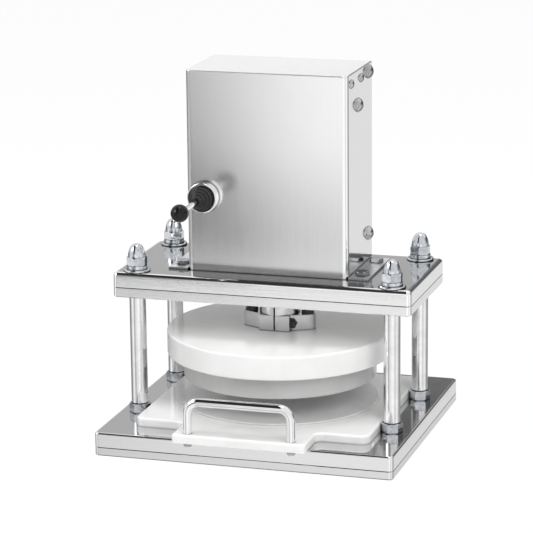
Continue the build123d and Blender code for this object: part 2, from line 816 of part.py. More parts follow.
def make_motor_pinion():
    """Small gear on the motor's shaft, turned by half a pitch so that the teeth mesh."""
    half_pitch_angle = 180.0 / pinion_teeth
    turn = 180.0 + half_pitch_angle
    return Pos(motor_x, 0, gear_low_z) * Rot(0, 0, turn) * spur_gear(pinion_teeth, motor_shaft_diameter)


def make_motor_shaft():
    """Output shaft of the geared motor."""
    low_z = gear_housing_low_z - motor_shaft_depth
    return rod(motor_shaft_diameter, low_z, gear_low_z + gear_face_width, motor_x)


def gear_housing_limits():
    """Left and right edges and half depth of the gear housing."""
    gear_tip = gear_module * (screw_gear_teeth + 2) / 2
    half_depth = gear_tip + gear_tip_gap + gear_housing_wall
    return -half_depth, motor_x + motor_diameter / 2 + gear_housing_wall, half_depth


def gear_housing_slab(z_low, z_high):
    """Block with the gear housing's outline."""
    left, right, half_depth = gear_housing_limits()
    return slab(right - left, 2 * half_depth, gear_housing_corner, z_low, z_high, (left + right) / 2)


def at_gearbox_screws(shape):
    """One copy of a shape at each screw of the gear housing."""
    left, right, _ = gear_housing_limits()
    xs = (left + gearbox_screw_inset, right - gearbox_screw_inset)
    return [Pos(x, side * gearbox_screw_pitch_y / 2, 0) * shape for x in xs for side in (-1, 1)]


def make_gear_housing():
    """Cast cup around the gears, with the lower bearing seat in its floor."""
    body = gear_housing_slab(gear_housing_low_z, gear_housing_top_z)
    gear_room = gear_module * (screw_gear_teeth + 2) + 2 * gear_tip_gap
    pinion_room = gear_module * (pinion_teeth + 2) + 2 * gear_tip_gap
    screw_low_z = gear_housing_top_z - gearbox_screw_reach
    cutters = [
        rod(gear_room, gear_floor_z, gear_housing_top_z),
        rod(pinion_room, gear_floor_z, gear_housing_top_z, motor_x),
        rod(bearing_diameter + 2 * seat_clearance, gear_floor_z - bearing_height, gear_floor_z),
        rod(lead_screw_diameter + 2 * hole_clearance, gear_housing_low_z, gear_floor_z),
        rod(motor_shaft_diameter + 2 * hole_clearance, gear_housing_low_z, gear_floor_z, motor_x),
    ]
    hole = rod(gearbox_screw_diameter + 2 * thread_clearance, screw_low_z, gear_housing_top_z)
    return cut_all(body, cutters + at_gearbox_screws(hole))


def make_gear_cover():
    """Lid of the gear housing, with the upper bearing seat."""
    body = gear_housing_slab(gear_housing_top_z, gear_cover_top_z)
    seat_top_z = gear_housing_top_z + bearing_height
    seat = rod(bearing_diameter + 2 * seat_clearance, gear_housing_top_z, seat_top_z)
    hole = rod(gearbox_screw_diameter + 2 * thread_clearance, gear_housing_top_z, gear_cover_top_z)
    return cut_all(body, [seat] + at_gearbox_screws(hole))


def make_screw_bearings():
    """Bearings that carry the lead screw's journal, drawn as plain rings."""
    bore = journal_diameter + 2 * running_clearance
    lower = sleeve(bearing_diameter, bore, gear_floor_z - bearing_height, gear_floor_z)
    upper = sleeve(bearing_diameter, bore, gear_housing_top_z, gear_housing_top_z + bearing_height)
    return group([lower, upper])


def make_gearbox_screws():
    """Screws through the frame's bridge and the gear cover into the gear housing."""
    length = frame_sheet + gear_cover_thickness + gearbox_screw_reach - hole_clearance
    screw = socket_screw(gearbox_screw_diameter, length,
                         gearbox_screw_head_diameter, gearbox_screw_head_height)
    return group(at_gearbox_screws(Pos(0, 0, bridge_top_z) * screw))


def make_motor_gearbox():
    """Reduction unit between the motor and its output shaft."""
    low_z = gear_housing_low_z - motor_gearbox_height
    shaft_low_z = gear_housing_low_z - motor_shaft_depth - hole_clearance
    bore_diameter = motor_shaft_diameter + 2 * running_clearance
    body = rod(motor_diameter, low_z, gear_housing_low_z, motor_x)
    return body - rod(bore_diameter, shaft_low_z, gear_housing_low_z, motor_x)


def make_motor_can():
    """Motor under its reduction unit."""
    high_z = gear_housing_low_z - motor_gearbox_height
    can = rod(motor_diameter, high_z - motor_can_height, high_z, motor_x)
    return fillet(lowest_edges(can), motor_can_rounding)


def make_actuator_frame():
    """Inverted U of thick sheet on two turned-out feet, which takes the pressing force."""
    outer = block(-frame_outer_x, frame_outer_x, frame_front_y, frame_back_y, deck_z, bridge_top_z)
    upright_edges = outer.faces().sort_by(Axis.Z)[-1].edges().filter_by(Axis.Y)
    outer = fillet(upright_edges, frame_bend_radius)
    inner = block(-frame_inner_x, frame_inner_x, frame_front_y, frame_back_y, deck_z, gear_cover_top_z)
    inner_edges = inner.faces().sort_by(Axis.Z)[-1].edges().filter_by(Axis.Y)
    inner = fillet(inner_edges, frame_bend_radius - frame_sheet)
    body = outer - inner
    foot_inner_x = housing_width / 2 + sheet_gap
    for side in (-1, 1):
        under_wall = sorted((side * frame_inner_x, side * foot_inner_x))
        outside = sorted((side * foot_inner_x, side * foot_outer_x))
        body = body + block(*under_wall, frame_front_y, frame_back_y, deck_z, foot_top_z)
        body = body + block(*outside, foot_front_y, foot_back_y, deck_z, foot_top_z)
    bolt_hole = rod(foot_bolt_diameter + 2 * hole_clearance, deck_z, foot_top_z)
    screw_hole = rod(gearbox_screw_diameter + 2 * hole_clearance, gear_cover_top_z, bridge_top_z)
    side_hole = screw_shank_diameter + 2 * thread_clearance
    side_holes = at_middle_screws(rod(side_hole, -screw_shank_length, 0.0))
    return cut_all(body, at_foot_bolts(bolt_hole) + at_gearbox_screws(screw_hole) + side_holes)


def make_foot_bolts():
    """Hexagon bolts through the feet into the top plate."""
    head = chamfered_hex(foot_bolt_across_flats, foot_bolt_head_height)
    length = foot_top_z - top_plate_low_z - foot_bolt_floor_gap
    bolt = head + rod(foot_bolt_diameter, -length, 0.0)
    return group(at_foot_bolts(Pos(0, 0, foot_top_z) * bolt))


def across(shape, side, y, z):
    """A shape drawn upright, laid on the housing's left or right side and pointing outwards."""
    return Pos(side * housing_width / 2, y, z) * Rot(0, side * 90, 0) * shape


def at_rivets(shape):
    """One copy of a shape at each rivet of the lid."""
    z = lid_low_z - rivet_drop
    return [across(shape, side, y, z) for side in (-1, 1) for y in (rivet_front_y, rivet_rear_y)]


def at_back_screws(shape):
    """One copy of a shape at each screw of the back panel."""
    heights = (lid_low_z - screw_upper_drop, deck_z + screw_lower_rise)
    return [across(shape, side, screw_y, z) for side in (-1, 1) for z in heights]


def at_middle_screws(shape):
    """One copy of a shape at each screw through a side wall into the inner frame."""
    return [across(shape, side, screw_middle_y, lid_top_z - screw_middle_drop) for side in (-1, 1)]


def at_side_screws(shape):
    """One copy of a shape at every large screw on the housing's sides."""
    return at_back_screws(shape) + at_middle_screws(shape)


def bent_box(width, depth, radius, z_low, z_high, front_y):
    """Block whose two front upright edges are rounded."""
    body = block(-width / 2, width / 2, front_y, front_y + depth, z_low, z_high)
    edges = body.faces().sort_by(Axis.Y)[0].edges().filter_by(Axis.Z)
    return fillet(edges, radius)


def make_housing_shell():
    """Front and sides of the housing, folded from one sheet."""
    low_z = deck_z + sheet_gap
    outer = bent_box(housing_width, housing_depth, housing_bend_radius, low_z, lid_low_z, housing_front_y)
    inner_radius = housing_bend_radius - housing_sheet
    inner = bent_box(2 * wall_inner_x, housing_depth, inner_radius, low_z, lid_low_z, panel_inner_y)
    foot_room = block(-housing_width, housing_width, housing_front_y + housing_bend_radius,
                      housing_back_y, low_z, foot_top_z + sheet_gap)
    wall = housing_sheet + hole_clearance
    rivet_hole = rod(rivet_shank_diameter + 2 * thread_clearance, -wall, hole_clearance)
    screw_hole = rod(screw_shank_diameter + 2 * thread_clearance, -wall, hole_clearance)
    neck_hole = forward(rod(joystick_neck_diameter + 2 * seat_clearance, -wall, wall), housing_front_y)
    side_holes = at_rivets(rivet_hole) + at_side_screws(screw_hole)
    return cut_all(outer - inner, [foot_room, neck_hole] + side_holes)


def make_housing_lid():
    """Top of the housing, with a flange inside each side wall."""
    lid = bent_box(housing_width, housing_depth, housing_bend_radius, lid_low_z, lid_top_z, housing_front_y)
    lid = fillet(highest_edges(lid), lid_edge_rounding)
    flange_back_y = back_flange_front_y - sheet_gap
    for side in (-1, 1):
        x_limits = sorted((side * frame_outer_x, side * (frame_outer_x - housing_sheet)))
        lid = lid + block(*x_limits, flange_back_y - lid_flange_length, flange_back_y,
                          lid_low_z - lid_flange_height, lid_low_z)
    hole = rod(rivet_shank_diameter + 2 * thread_clearance, -2 * rivet_shank_diameter, 0.0)
    return cut_all(lid, at_rivets(hole))


def make_housing_back():
    """Back panel with a flange along each side wall."""
    low_z = deck_z + sheet_gap
    high_z = lid_low_z - sheet_gap
    panel = block(-frame_outer_x, frame_outer_x, back_flange_front_y, housing_back_y, low_z, high_z)
    inner_x = frame_outer_x - housing_sheet
    inner_y = housing_back_y - housing_sheet
    panel = panel - block(-inner_x, inner_x, back_flange_front_y, inner_y, low_z, high_z)
    screw_hole = rod(screw_shank_diameter + 2 * thread_clearance, -screw_shank_length, 0.0)
    gland_hole_diameter = gland_thread_diameter + 2 * seat_clearance
    gland_hole = backward(rod(gland_hole_diameter, -2 * housing_sheet, housing_sheet))
    return cut_all(panel, at_back_screws(screw_hole) + [gland_hole])


def make_lid_rivets():
    """Low domed rivets that hold the lid's flanges."""
    shank = rod(rivet_shank_diameter, -2 * housing_sheet - sheet_gap, 0.0)
    return group(at_rivets(dome(rivet_head_diameter, rivet_head_height) + shank))


def make_housing_screws():
    """Large domed screws through the side walls."""
    shank = rod(screw_shank_diameter, -screw_shank_length, 0.0)
    return group(at_side_screws(dome(screw_head_diameter, screw_head_height) + shank))


def forward(shape, y):
    """A shape drawn upright, laid on the lever switch's axis and pointing to the front."""
    return Pos(joystick_x, y, joystick_z) * Rot(90, 0, 0) * shape


def lever_pin_length():
    """Length of the lever's pin, which ends inside the switch body."""
    return joystick_bore_diameter + 2 * lever_pin_depth


def make_joystick_body():
    """Switch body behind the panel, with a threaded neck through it."""
    body = rod(joystick_body_diameter, -joystick_body_length, 0.0)
    neck_height = panel_inner_y - neck_front_y
    body = body + rod(joystick_neck_diameter, 0.0, neck_height)
    body = body - rod(joystick_bore_diameter, neck_height - joystick_bore_depth, neck_height)
    pin_height = panel_inner_y - lever_pivot_y
    pin_hole = Rot(0, 90, 0) * Cylinder(lever_pin_diameter / 2 + seat_clearance, lever_pin_length())
    return forward(body - Pos(0, 0, pin_height) * pin_hole, panel_inner_y)


def make_joystick_bezel():
    """Chrome ring nut on the switch's neck, with a lip over the boot's rim."""
    ring = rod(bezel_diameter, 0.0, bezel_length)
    ring = fillet(highest_edges(ring), bezel_edge_rounding)
    ring = ring - rod(joystick_neck_diameter + 2 * thread_clearance, 0.0, bezel_length - bezel_lip)
    ring = ring - rod(bezel_lip_diameter, 0.0, bezel_length)
    return forward(ring, housing_front_y)


def make_lever_pivot_pin():
    """Pin on which the lever tilts."""
    pin = Rot(0, 90, 0) * Cylinder(lever_pin_diameter / 2, lever_pin_length())
    return Pos(joystick_x, lever_pivot_y, joystick_z) * pin


def make_contact_block():
    """Contact block behind the switch body."""
    half_width = contact_block_width / 2
    half_height = contact_block_height / 2
    return block(joystick_x - half_width, joystick_x + half_width,
                 contact_back_y - contact_block_depth, contact_back_y,
                 joystick_z - half_height, joystick_z + half_height)


def make_lever_boot():
    """Rubber bellows between the bezel and the lever, with its rim under the bezel's lip."""
    rim_low = neck_front_y - bezel_front_y - bezel_lip - boot_rim_thickness
    rim_diameter = joystick_neck_diameter - 2 * sheet_gap
    mouth_radius = bezel_lip_diameter / 2 - sheet_gap
    tip_radius = boot_tip_diameter / 2
    tip_bore = lever_rod_diameter / 2 + sheet_gap
    shoulder_height = rim_low + boot_rim_thickness + bezel_lip + boot_shoulder
    ring_pitch = (boot_length - boot_shoulder) / boot_ring_count
    outside = [(mouth_radius, rim_low + boot_rim_thickness), (mouth_radius, shoulder_height)]
    inside = []
    for ring in range(boot_ring_count):
        crest_radius = mouth_radius - (mouth_radius - tip_radius) * (ring + 0.5) / boot_ring_count
        valley_radius = mouth_radius - (mouth_radius - tip_radius) * (ring + 1.0) / boot_ring_count
        crest_height = shoulder_height + ring_pitch * (ring + 0.5)
        valley_height = shoulder_height + ring_pitch * (ring + 1.0)
        outside += [(crest_radius + boot_ring_depth, crest_height), (valley_radius, valley_height)]
        inside += [(max(valley_radius - boot_wall, tip_bore), valley_height)]
    profile = [(rim_diameter / 2, rim_low), (rim_diameter / 2, rim_low + boot_rim_thickness)]
    profile += outside + list(reversed(inside)) + [(mouth_radius - boot_wall, rim_low)]
    section = Plane.XZ * make_face(Polyline(profile, close=True))
    return forward(revolve(section, Axis.Z), neck_front_y)


def make_lever_rod():
    """Lever with a cross-drilled hub on the pivot pin."""
    hub = Rot(0, 90, 0) * Cylinder(lever_hub_diameter / 2, lever_hub_width)
    stem = rod(lever_rod_diameter, 0.0, lever_length)
    hole = Rot(0, 90, 0) * Cylinder(lever_pin_diameter / 2 + running_clearance, lever_hub_width)
    return forward(hub + stem - hole, lever_pivot_y)


def make_lever_knob():
    """Ball knob on the lever's end."""
    ball = Pos(0, 0, lever_length) * Sphere(knob_diameter / 2)
    neck_height = lever_length - knob_diameter / 2 + knob_neck_flat
    ball = ball - rod(knob_diameter, 0.0, neck_height)
    hole = rod(lever_rod_diameter + 2 * seat_clearance, 0.0, lever_length + seat_clearance)
    return forward(ball - hole, lever_pivot_y)


def make_power_supply():
    """Power supply on the frame's left side, above the lever switch."""
    low_z = joystick_z + joystick_body_diameter / 2 + supply_clearance
    return block(-frame_inner_x, supply_width - frame_inner_x, -supply_depth / 2, supply_depth / 2,
                 low_z, low_z + supply_height)


def make_terminal_block():
    """Terminal and relay block on the frame's left side, below the lever switch."""
    high_z = joystick_z - joystick_body_diameter / 2 - terminal_clearance
    return block(-frame_inner_x, terminal_width - frame_inner_x,
                 contact_back_y - terminal_depth, contact_back_y,
                 high_z - terminal_height, high_z)


def backward(shape):
    """A shape drawn upright, laid on the gland's axis and pointing to the back."""
    place = Pos(gland_edge_distance - housing_width / 2, housing_back_y, deck_z + gland_rise)
    return place * Rot(-90, 0, 0) * shape


def make_cable_gland():
    """Gland through the back panel for the mains lead."""
    hexagon = chamfered_hex(gland_across_flats, gland_hex_height)
    cap = rod(gland_cap_diameter, gland_hex_height, gland_hex_height + gland_cap_height)
    cap = fillet(highest_edges(cap), gland_cap_rounding)
    thread = rod(gland_thread_diameter, -gland_thread_length, 0.0)
    bore = rod(gland_bore_diameter, -gland_thread_length, gland_hex_height + gland_cap_height)
    return backward(hexagon + cap + thread - bore)


def make_gland_nut():
    """Nut that holds the gland from inside."""
    nut = chamfered_hex(gland_across_flats, gland_nut_height)
    nut = nut - rod(gland_thread_diameter + 2 * thread_clearance, 0.0, gland_nut_height)
    return backward(Pos(0, 0, -housing_sheet - gland_nut_height) * nut)


def wire(points):
    """Insulated wire along straight runs joined by arcs."""
    path = FilletPolyline(*points, radius=wire_bend_radius)
    return sweep(Plane(path @ 0, z_dir=path % 0) * Circle(wire_diameter / 2), path=path)


def make_wiring():
    """Leads between the terminal block, the contact block, the supply and the motor."""
    terminal_x = terminal_width - frame_inner_x
    terminal_top_z = joystick_z - joystick_body_diameter / 2 - terminal_clearance
    supply_x = supply_width - frame_inner_x
    supply_low_z = joystick_z + joystick_body_diameter / 2 + supply_clearance
    supply_z = supply_low_z + supply_height / 4
    terminal_z = terminal_top_z - terminal_height / 4
    lead_x = supply_x + wire_lead
    supply_lead = wire([(supply_x, frame_front_y + wire_lead, supply_z),
                        (lead_x, frame_front_y + wire_lead, supply_z),
                        (lead_x, frame_front_y + wire_lead, terminal_z),
                        (terminal_x, frame_front_y + wire_lead, terminal_z)])
    contact_lead = wire([(joystick_x, contact_back_y, joystick_z),
                         (joystick_x, contact_back_y + wire_lead, joystick_z),
                         (joystick_x, contact_back_y + wire_lead, terminal_z),
                         (joystick_x, contact_back_y, terminal_z)])
    return group([supply_lead, contact_lead])


makers = {
    "base_plate": make_base_plate,
    "base_cover": make_base_cover,
    "base_spacers": make_base_spacers,
    "base_stiffeners": make_base_stiffeners,
    "column_jam_nuts": make_jam_nuts,
    "column_flat_washers": make_flat_washers,
    "column_spring_washers": make_spring_washers,
    "column_cap_nuts": make_cap_nuts,
    "top_plate": make_top_plate,
    "top_cover": make_top_cover,
    "top_spacers": make_top_spacers,
    "guide_bush": make_guide_bush,
    "tray_plate": make_tray_plate,
    "tray_pad": make_tray_pad,
    "tray_handle": make_tray_handle,
    "handle_nuts": make_handle_nuts,
    "lower_disc": make_lower_disc,
    "upper_disc": make_upper_disc,
    "shaft_clamp": make_shaft_clamp,
    "clamp_screw": make_clamp_screw,
    "disc_bolts": make_disc_bolts,
    "ram_tube": make_ram_tube,
    "drive_nut": make_drive_nut,
    "actuator_tube": make_actuator_tube,
    "limit_switches": make_limit_switches,
    "switch_rail": make_switch_rail,
    "lead_screw": make_lead_screw,
    "screw_gear": make_screw_gear,
    "motor_pinion": make_motor_pinion,
    "motor_shaft": make_motor_shaft,
    "gear_housing": make_gear_housing,
    "gear_cover": make_gear_cover,
    "screw_bearings": make_screw_bearings,
    "gearbox_screws": make_gearbox_screws,
    "motor_gearbox": make_motor_gearbox,
    "motor_can": make_motor_can,
    "actuator_frame": make_actuator_frame,
    "foot_bolts": make_foot_bolts,
    "housing_shell": make_housing_shell,
    "housing_lid": make_housing_lid,
    "housing_back": make_housing_back,
    "lid_rivets": make_lid_rivets,
    "housing_screws": make_housing_screws,
    "joystick_body": make_joystick_body,
    "joystick_bezel": make_joystick_bezel,
    "lever_pivot_pin": make_lever_pivot_pin,
    "contact_block": make_contact_block,
    "lever_boot": make_lever_boot,
    "lever_rod": make_lever_rod,
    "lever_knob": make_lever_knob,
    "power_supply": make_power_supply,
    "terminal_block": make_terminal_block,
    "cable_gland": make_cable_gland,
    "gland_nut": make_gland_nut,
    "wiring": make_wiring,
}

os.makedirs("parts", exist_ok=True)
for node, maker in makers.items():
    export_step(maker(), f"parts/{node}.step")
for corner, (side_x, side_y) in column_corners.items():
    place = Pos(side_x * column_spacing_x / 2, side_y * column_spacing_y / 2, 0)
    export_step(place * make_column(), f"parts/column_{corner}.step")
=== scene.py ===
import logging
import math
from dataclasses import dataclass, field
from enum import Enum
from typing import Any, ClassVar, Mapping, Sequence, Union

import bmesh
import bpy
from mathutils import Matrix, Vector


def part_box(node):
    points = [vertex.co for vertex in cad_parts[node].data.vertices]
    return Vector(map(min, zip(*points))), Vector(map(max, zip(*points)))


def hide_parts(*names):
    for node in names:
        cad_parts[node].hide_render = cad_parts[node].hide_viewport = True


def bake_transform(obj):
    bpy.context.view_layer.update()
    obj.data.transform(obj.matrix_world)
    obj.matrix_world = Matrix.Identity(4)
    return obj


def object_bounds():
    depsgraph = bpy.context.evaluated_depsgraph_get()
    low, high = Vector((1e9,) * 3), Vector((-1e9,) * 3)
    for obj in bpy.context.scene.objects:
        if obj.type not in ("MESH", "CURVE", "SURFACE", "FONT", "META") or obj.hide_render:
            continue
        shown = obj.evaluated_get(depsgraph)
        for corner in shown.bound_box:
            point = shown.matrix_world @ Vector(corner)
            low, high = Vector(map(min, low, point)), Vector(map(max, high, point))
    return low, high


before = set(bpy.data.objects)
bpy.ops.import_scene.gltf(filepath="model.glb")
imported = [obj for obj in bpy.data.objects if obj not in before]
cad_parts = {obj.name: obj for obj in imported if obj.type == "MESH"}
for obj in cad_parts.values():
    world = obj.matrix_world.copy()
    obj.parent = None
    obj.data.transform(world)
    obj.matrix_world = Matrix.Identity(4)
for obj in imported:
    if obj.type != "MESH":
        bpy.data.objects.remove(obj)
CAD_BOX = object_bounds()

LOG = logging.getLogger("dough_press")
MM = 0.001
IMAGE_SIDE = 533

Number = Union[int, float]
Operand = Union["Signal", Number]
Color = tuple[float, float, float]
Tint = Union["Signal", Color]
Point = tuple[float, float, float]
Span = tuple[float, float]


class Grain(Enum):
    """Direction that the brush lines of a metal run in."""

    ALONG_X = (0.02, 1.0, 1.0)
    ALONG_Z = (1.0, 1.0, 0.02)


class Ray(Enum):
    """Kinds of light ray that a shader can tell apart."""

    CAMERA = "Is Camera Ray"
    GLOSSY = "Is Glossy Ray"


class Signal:
    """A number in a shader graph, joined to others with arithmetic operators."""

    def __init__(self, graph: "Graph", socket: bpy.types.NodeSocket) -> None:
        """Wraps one output socket of a graph."""
        self.graph = graph
        self.socket = socket

    def math(self, operation: str, *others: Operand) -> "Signal":
        """Joins this number and others through one math node."""
        operands = {place: value for place, value in enumerate((self, *others))}
        return self.graph.node("ShaderNodeMath", {"operation": operation}, operands)

    def reflected(self, operation: str, first: Number) -> "Signal":
        """Joins a plain number and this signal, with the plain number first."""
        return self.graph.node("ShaderNodeMath", {"operation": operation}, {0: first, 1: self})

    def __add__(self, other: Operand) -> "Signal":
        """Sum of this and another number."""
        return self.math("ADD", other)

    def __radd__(self, other: Number) -> "Signal":
        """Sum of a plain number and this."""
        return self.reflected("ADD", other)

    def __sub__(self, other: Operand) -> "Signal":
        """Difference of this and another number."""
        return self.math("SUBTRACT", other)

    def __rsub__(self, other: Number) -> "Signal":
        """Difference of a plain number and this."""
        return self.reflected("SUBTRACT", other)

    def __mul__(self, other: Operand) -> "Signal":
        """Product of this and another number."""
        return self.math("MULTIPLY", other)

    def __rmul__(self, other: Number) -> "Signal":
        """Product of a plain number and this."""
        return self.reflected("MULTIPLY", other)

    def __pow__(self, other: Operand) -> "Signal":
        """Power of this to another number."""
        return self.math("POWER", other)

    def __abs__(self) -> "Signal":
        """Size of this number without its sign."""
        return self.math("ABSOLUTE")

    def step(self, start: Number, end: Number) -> "Signal":
        """Smooth step from 0 at one value to 1 at another, which may be the smaller one."""
        sockets = {"Value": self, "From Min": start, "From Max": end}
        return self.graph.node("ShaderNodeMapRange", {"interpolation_type": "SMOOTHSTEP"}, sockets)


class Graph:
    """One shader's node tree."""

    openness_samples: ClassVar[int] = 12

    def __init__(self, tree: bpy.types.NodeTree) -> None:
        """Empties the node tree of a material or world and takes it over."""
        self.tree = tree
        tree.nodes.clear()

    def node(
        self,
        kind: str,
        settings: Mapping[str, Any],
        sockets: Mapping[Union[str, int], Any],
        output: Union[str, int] = 0,
    ) -> Signal:
        """Adds one node.

        Args:
            kind: Blender's name for the node type.
            settings: Properties of the node, set first.
            sockets: Input values or signals by socket name or number.
            output: Name or number of the output to return.

        Returns:
            The chosen output as a signal. A node without outputs gives its first input.
        """
        made = self.tree.nodes.new(kind)
        for name, value in settings.items():
            setattr(made, name, value)
        for place, value in sockets.items():
            target = made.inputs[place]
            if isinstance(value, Signal):
                self.tree.links.new(value.socket, target)
            else:
                target.default_value = value
        outputs = made.outputs
        return Signal(self, outputs[output]) if len(outputs) else Signal(self, made.inputs[0])

    def coordinate(self, kind: str = "Object") -> Signal:
        """Texture coordinate of the shaded point, as a vector."""
        return self.node("ShaderNodeTexCoord", {}, {}, kind)

    def split(self, vector: Signal) -> tuple[Signal, Signal, Signal]:
        """Splits a vector.

        Args:
            vector: The vector's signal.

        Returns:
            The three components.
        """
        first = self.node("ShaderNodeSeparateXYZ", {}, {0: vector})
        outputs = first.socket.node.outputs
        return first, Signal(self, outputs[1]), Signal(self, outputs[2])

    def join(self, x: Operand, y: Operand, z: Operand) -> Signal:
        """Joins three numbers into a vector."""
        return self.node("ShaderNodeCombineXYZ", {}, {0: x, 1: y, 2: z})

    def noise(self, vector: Signal, scale: float, detail: float = 3.0, rough: float = 0.55) -> Signal:
        """Noise between about 0 and 1, with a scale in features per metre."""
        sockets = {"Vector": vector, "Scale": scale, "Detail": detail, "Roughness": rough}
        return self.node("ShaderNodeTexNoise", {"noise_dimensions": "3D"}, sockets)

    def stretched(self, vector: Signal, stretch: Sequence[float]) -> Signal:
        """Scales a vector by an amount for each axis."""
        return self.node("ShaderNodeVectorMath", {"operation": "MULTIPLY"}, {0: vector, 1: tuple(stretch)})

    def mixed(self, factor: Operand, first: Tint, second: Tint) -> Signal:
        """Mixes two colours.

        Args:
            factor: Share of the second colour.
            first: Colour at 0.
            second: Colour at 1.

        Returns:
            The mixed colour.
        """
        settings = {"data_type": "RGBA", "clamp_factor": True}
        ends = [end if isinstance(end, Signal) else (*end, 1.0) for end in (first, second)]
        return self.node("ShaderNodeMix", settings, {0: factor, 6: ends[0], 7: ends[1]}, 2)

    def bump(self, height: Signal, strength: float, distance: float) -> Signal:
        """Normal that follows a height, with the bump's distance in metres."""
        sockets = {"Strength": strength, "Distance": distance, "Height": height}
        return self.node("ShaderNodeBump", {}, sockets)

    def openness(self, reach: float) -> Signal:
        """How open the surface is within a reach in metres: near 0 in grooves, 1 in the open."""
        settings = {"samples": self.openness_samples}
        return self.node("ShaderNodeAmbientOcclusion", settings, {"Distance": reach}, "AO")

    def pointiness(self) -> Signal:
        """How far the surface bulges: over 0.5 on crests, under it in grooves."""
        return self.node("ShaderNodeNewGeometry", {}, {}, "Pointiness")

    def ray(self, kind: Ray) -> Signal:
        """1 for light rays of a kind and 0 for others."""
        return self.node("ShaderNodeLightPath", {}, {}, kind.value)


@dataclass(frozen=True)
class Finish:
    """A procedural material for some of the part's surfaces, with painted shade that darkens it in creases
    and where pieces meet.
    """

    made: ClassVar[dict[str, bpy.types.Material]] = {}
    unshaded_span: ClassVar[Span] = (0.30, 0.86)

    name: str
    reach: float = 3.5 * MM
    # Colour of the painted shade in creases and where pieces meet.
    shade: Color = (0.03, 0.03, 0.03)
    relief_height: float = 0.2 * MM

    def material(self) -> bpy.types.Material:
        """Makes the material once and hands out the same one after that.

        Returns:
            The material.
        """
        if self.name in self.made:
            return self.made[self.name]
        made = self.made[self.name] = bpy.data.materials.new(self.name)
        made.use_nodes = True
        graph = Graph(made.node_tree)
        sockets = self.sockets(graph)
        # Painted shade: ambient occlusion within the reach pulls the base colour toward the shade colour in
        # creases and where pieces meet.
        unshaded = graph.openness(self.reach).step(*self.unshaded_span)
        sockets["Base Color"] = graph.mixed(unshaded, self.shade, sockets["Base Color"])
        shader = graph.node("ShaderNodeBsdfPrincipled", {}, sockets)
        graph.node("ShaderNodeOutputMaterial", {}, {"Surface": shader})
        return made

    def sockets(self, graph: Graph) -> dict[str, Any]:
        """Inputs of the surface shader by socket name, which each kind of finish gives."""
        raise NotImplementedError


@dataclass(frozen=True)
class BrushedSteel(Finish):
    """Stainless sheet with brush lines in one direction."""

    fine_lines: ClassVar[float] = 2600.0
    broad_lines: ClassVar[float] = 420.0
    fine_share: ClassVar[float] = 0.55
    line_span: ClassVar[Span] = (0.2, 0.8)
    cloud_scale: ClassVar[float] = 14.0
    cloud_spread: ClassVar[float] = 0.06
    level_span: ClassVar[Span] = (0.97, 0.998)
    front_span: ClassVar[Span] = (-0.6, -0.97)
    bend_start: ClassVar[Span] = (-0.08, -0.30)
    bend_end: ClassVar[Span] = (-0.99, -0.95)

    light: Color = (0.80, 0.80, 0.80)
    dark: Color = (0.74, 0.74, 0.745)
    # Painted tone of level faces, standing for how brightly or darkly tops reflect rather than for another
    # metal.
    level: Color = (0.80, 0.80, 0.80)
    grain: Grain = Grain.ALONG_X
    roughness: float = 0.24
    spread: float = 0.06
    relief: float = 0.10
    front_roughness: float = 0.24
    bend_roughness: float = 0.0
    # Share and grey of the painted shade on the left-facing bend.
    left_bend_shade: float = 0.0
    left_bend_shade_tone: Color = (0.42, 0.42, 0.42)
    metallic: float = 1.0

    def sockets(self, graph: Graph) -> dict[str, Any]:
        """Brush lines at two widths, faint clouds, a painted tone of their own on level faces that stands for
        how tops reflect, and painted shade on the left bend.

        Args:
            graph: The material's graph.

        Returns:
            Values and signals by socket name.
        """
        place = graph.coordinate()
        lines = graph.stretched(place, self.grain.value)
        fine = graph.noise(lines, self.fine_lines, detail=2.0)
        broad = graph.noise(lines, self.broad_lines)
        clouds = graph.noise(place, self.cloud_scale, detail=4.0)
        streaks = fine * self.fine_share + broad * (1.0 - self.fine_share)
        across, facing, rise = graph.split(graph.coordinate("Normal"))
        ahead = facing.step(*self.front_span)
        bend = across.step(*self.bend_start) * across.step(*self.bend_end)
        tone = graph.mixed(streaks.step(*self.line_span), self.dark, self.light)
        # Painted reflection: level faces take a tone of their own.
        tone = graph.mixed(rise.step(*self.level_span), tone, self.level)
        # Painted shade: the left-facing bend is pulled toward a darker grey.
        tone = graph.mixed(bend * self.left_bend_shade, tone, self.left_bend_shade_tone)
        matt = self.roughness + ahead * (self.front_roughness - self.roughness) + bend * self.bend_roughness
        return {
            "Base Color": tone,
            "Metallic": self.metallic,
            "Roughness": matt + (streaks - 0.5) * self.spread + (clouds - 0.5) * self.cloud_spread,
            "Normal": graph.bump(streaks, self.relief, self.relief_height),
        }


@dataclass(frozen=True)
class PolishedMetal(Finish):
    """Bright metal with faint turning lines and fingerprints."""

    line_scale: ClassVar[float] = 1800.0
    line_share: ClassVar[float] = 0.5
    patch_scale: ClassVar[float] = 55.0
    patch_middle: ClassVar[float] = 0.45
    patch_span: ClassVar[Span] = (0.3, 0.7)

    light: Color = (0.86, 0.86, 0.87)
    dark: Color = (0.76, 0.76, 0.77)
    grain: Grain = Grain.ALONG_X
    roughness: float = 0.09
    relief: float = 0.05
    relief_height: float = 0.1 * MM
    unevenness: float = 0.10

    def sockets(self, graph: Graph) -> dict[str, Any]:
        """Faint lines, and patches that are a little duller.

        Args:
            graph: The material's graph.

        Returns:
            Values and signals by socket name.
        """
        place = graph.coordinate()
        lines = graph.noise(graph.stretched(place, self.grain.value), self.line_scale, detail=2.0)
        patches = graph.noise(place, self.patch_scale, detail=4.0, rough=0.6)
        uneven = (patches - self.patch_middle) + (lines - 0.5) * self.line_share
        return {
            "Base Color": graph.mixed(patches.step(*self.patch_span), self.dark, self.light),
            "Metallic": 1.0,
            "Roughness": self.roughness + uneven * self.unevenness,
            "Normal": graph.bump(lines, self.relief, self.relief_height),
        }


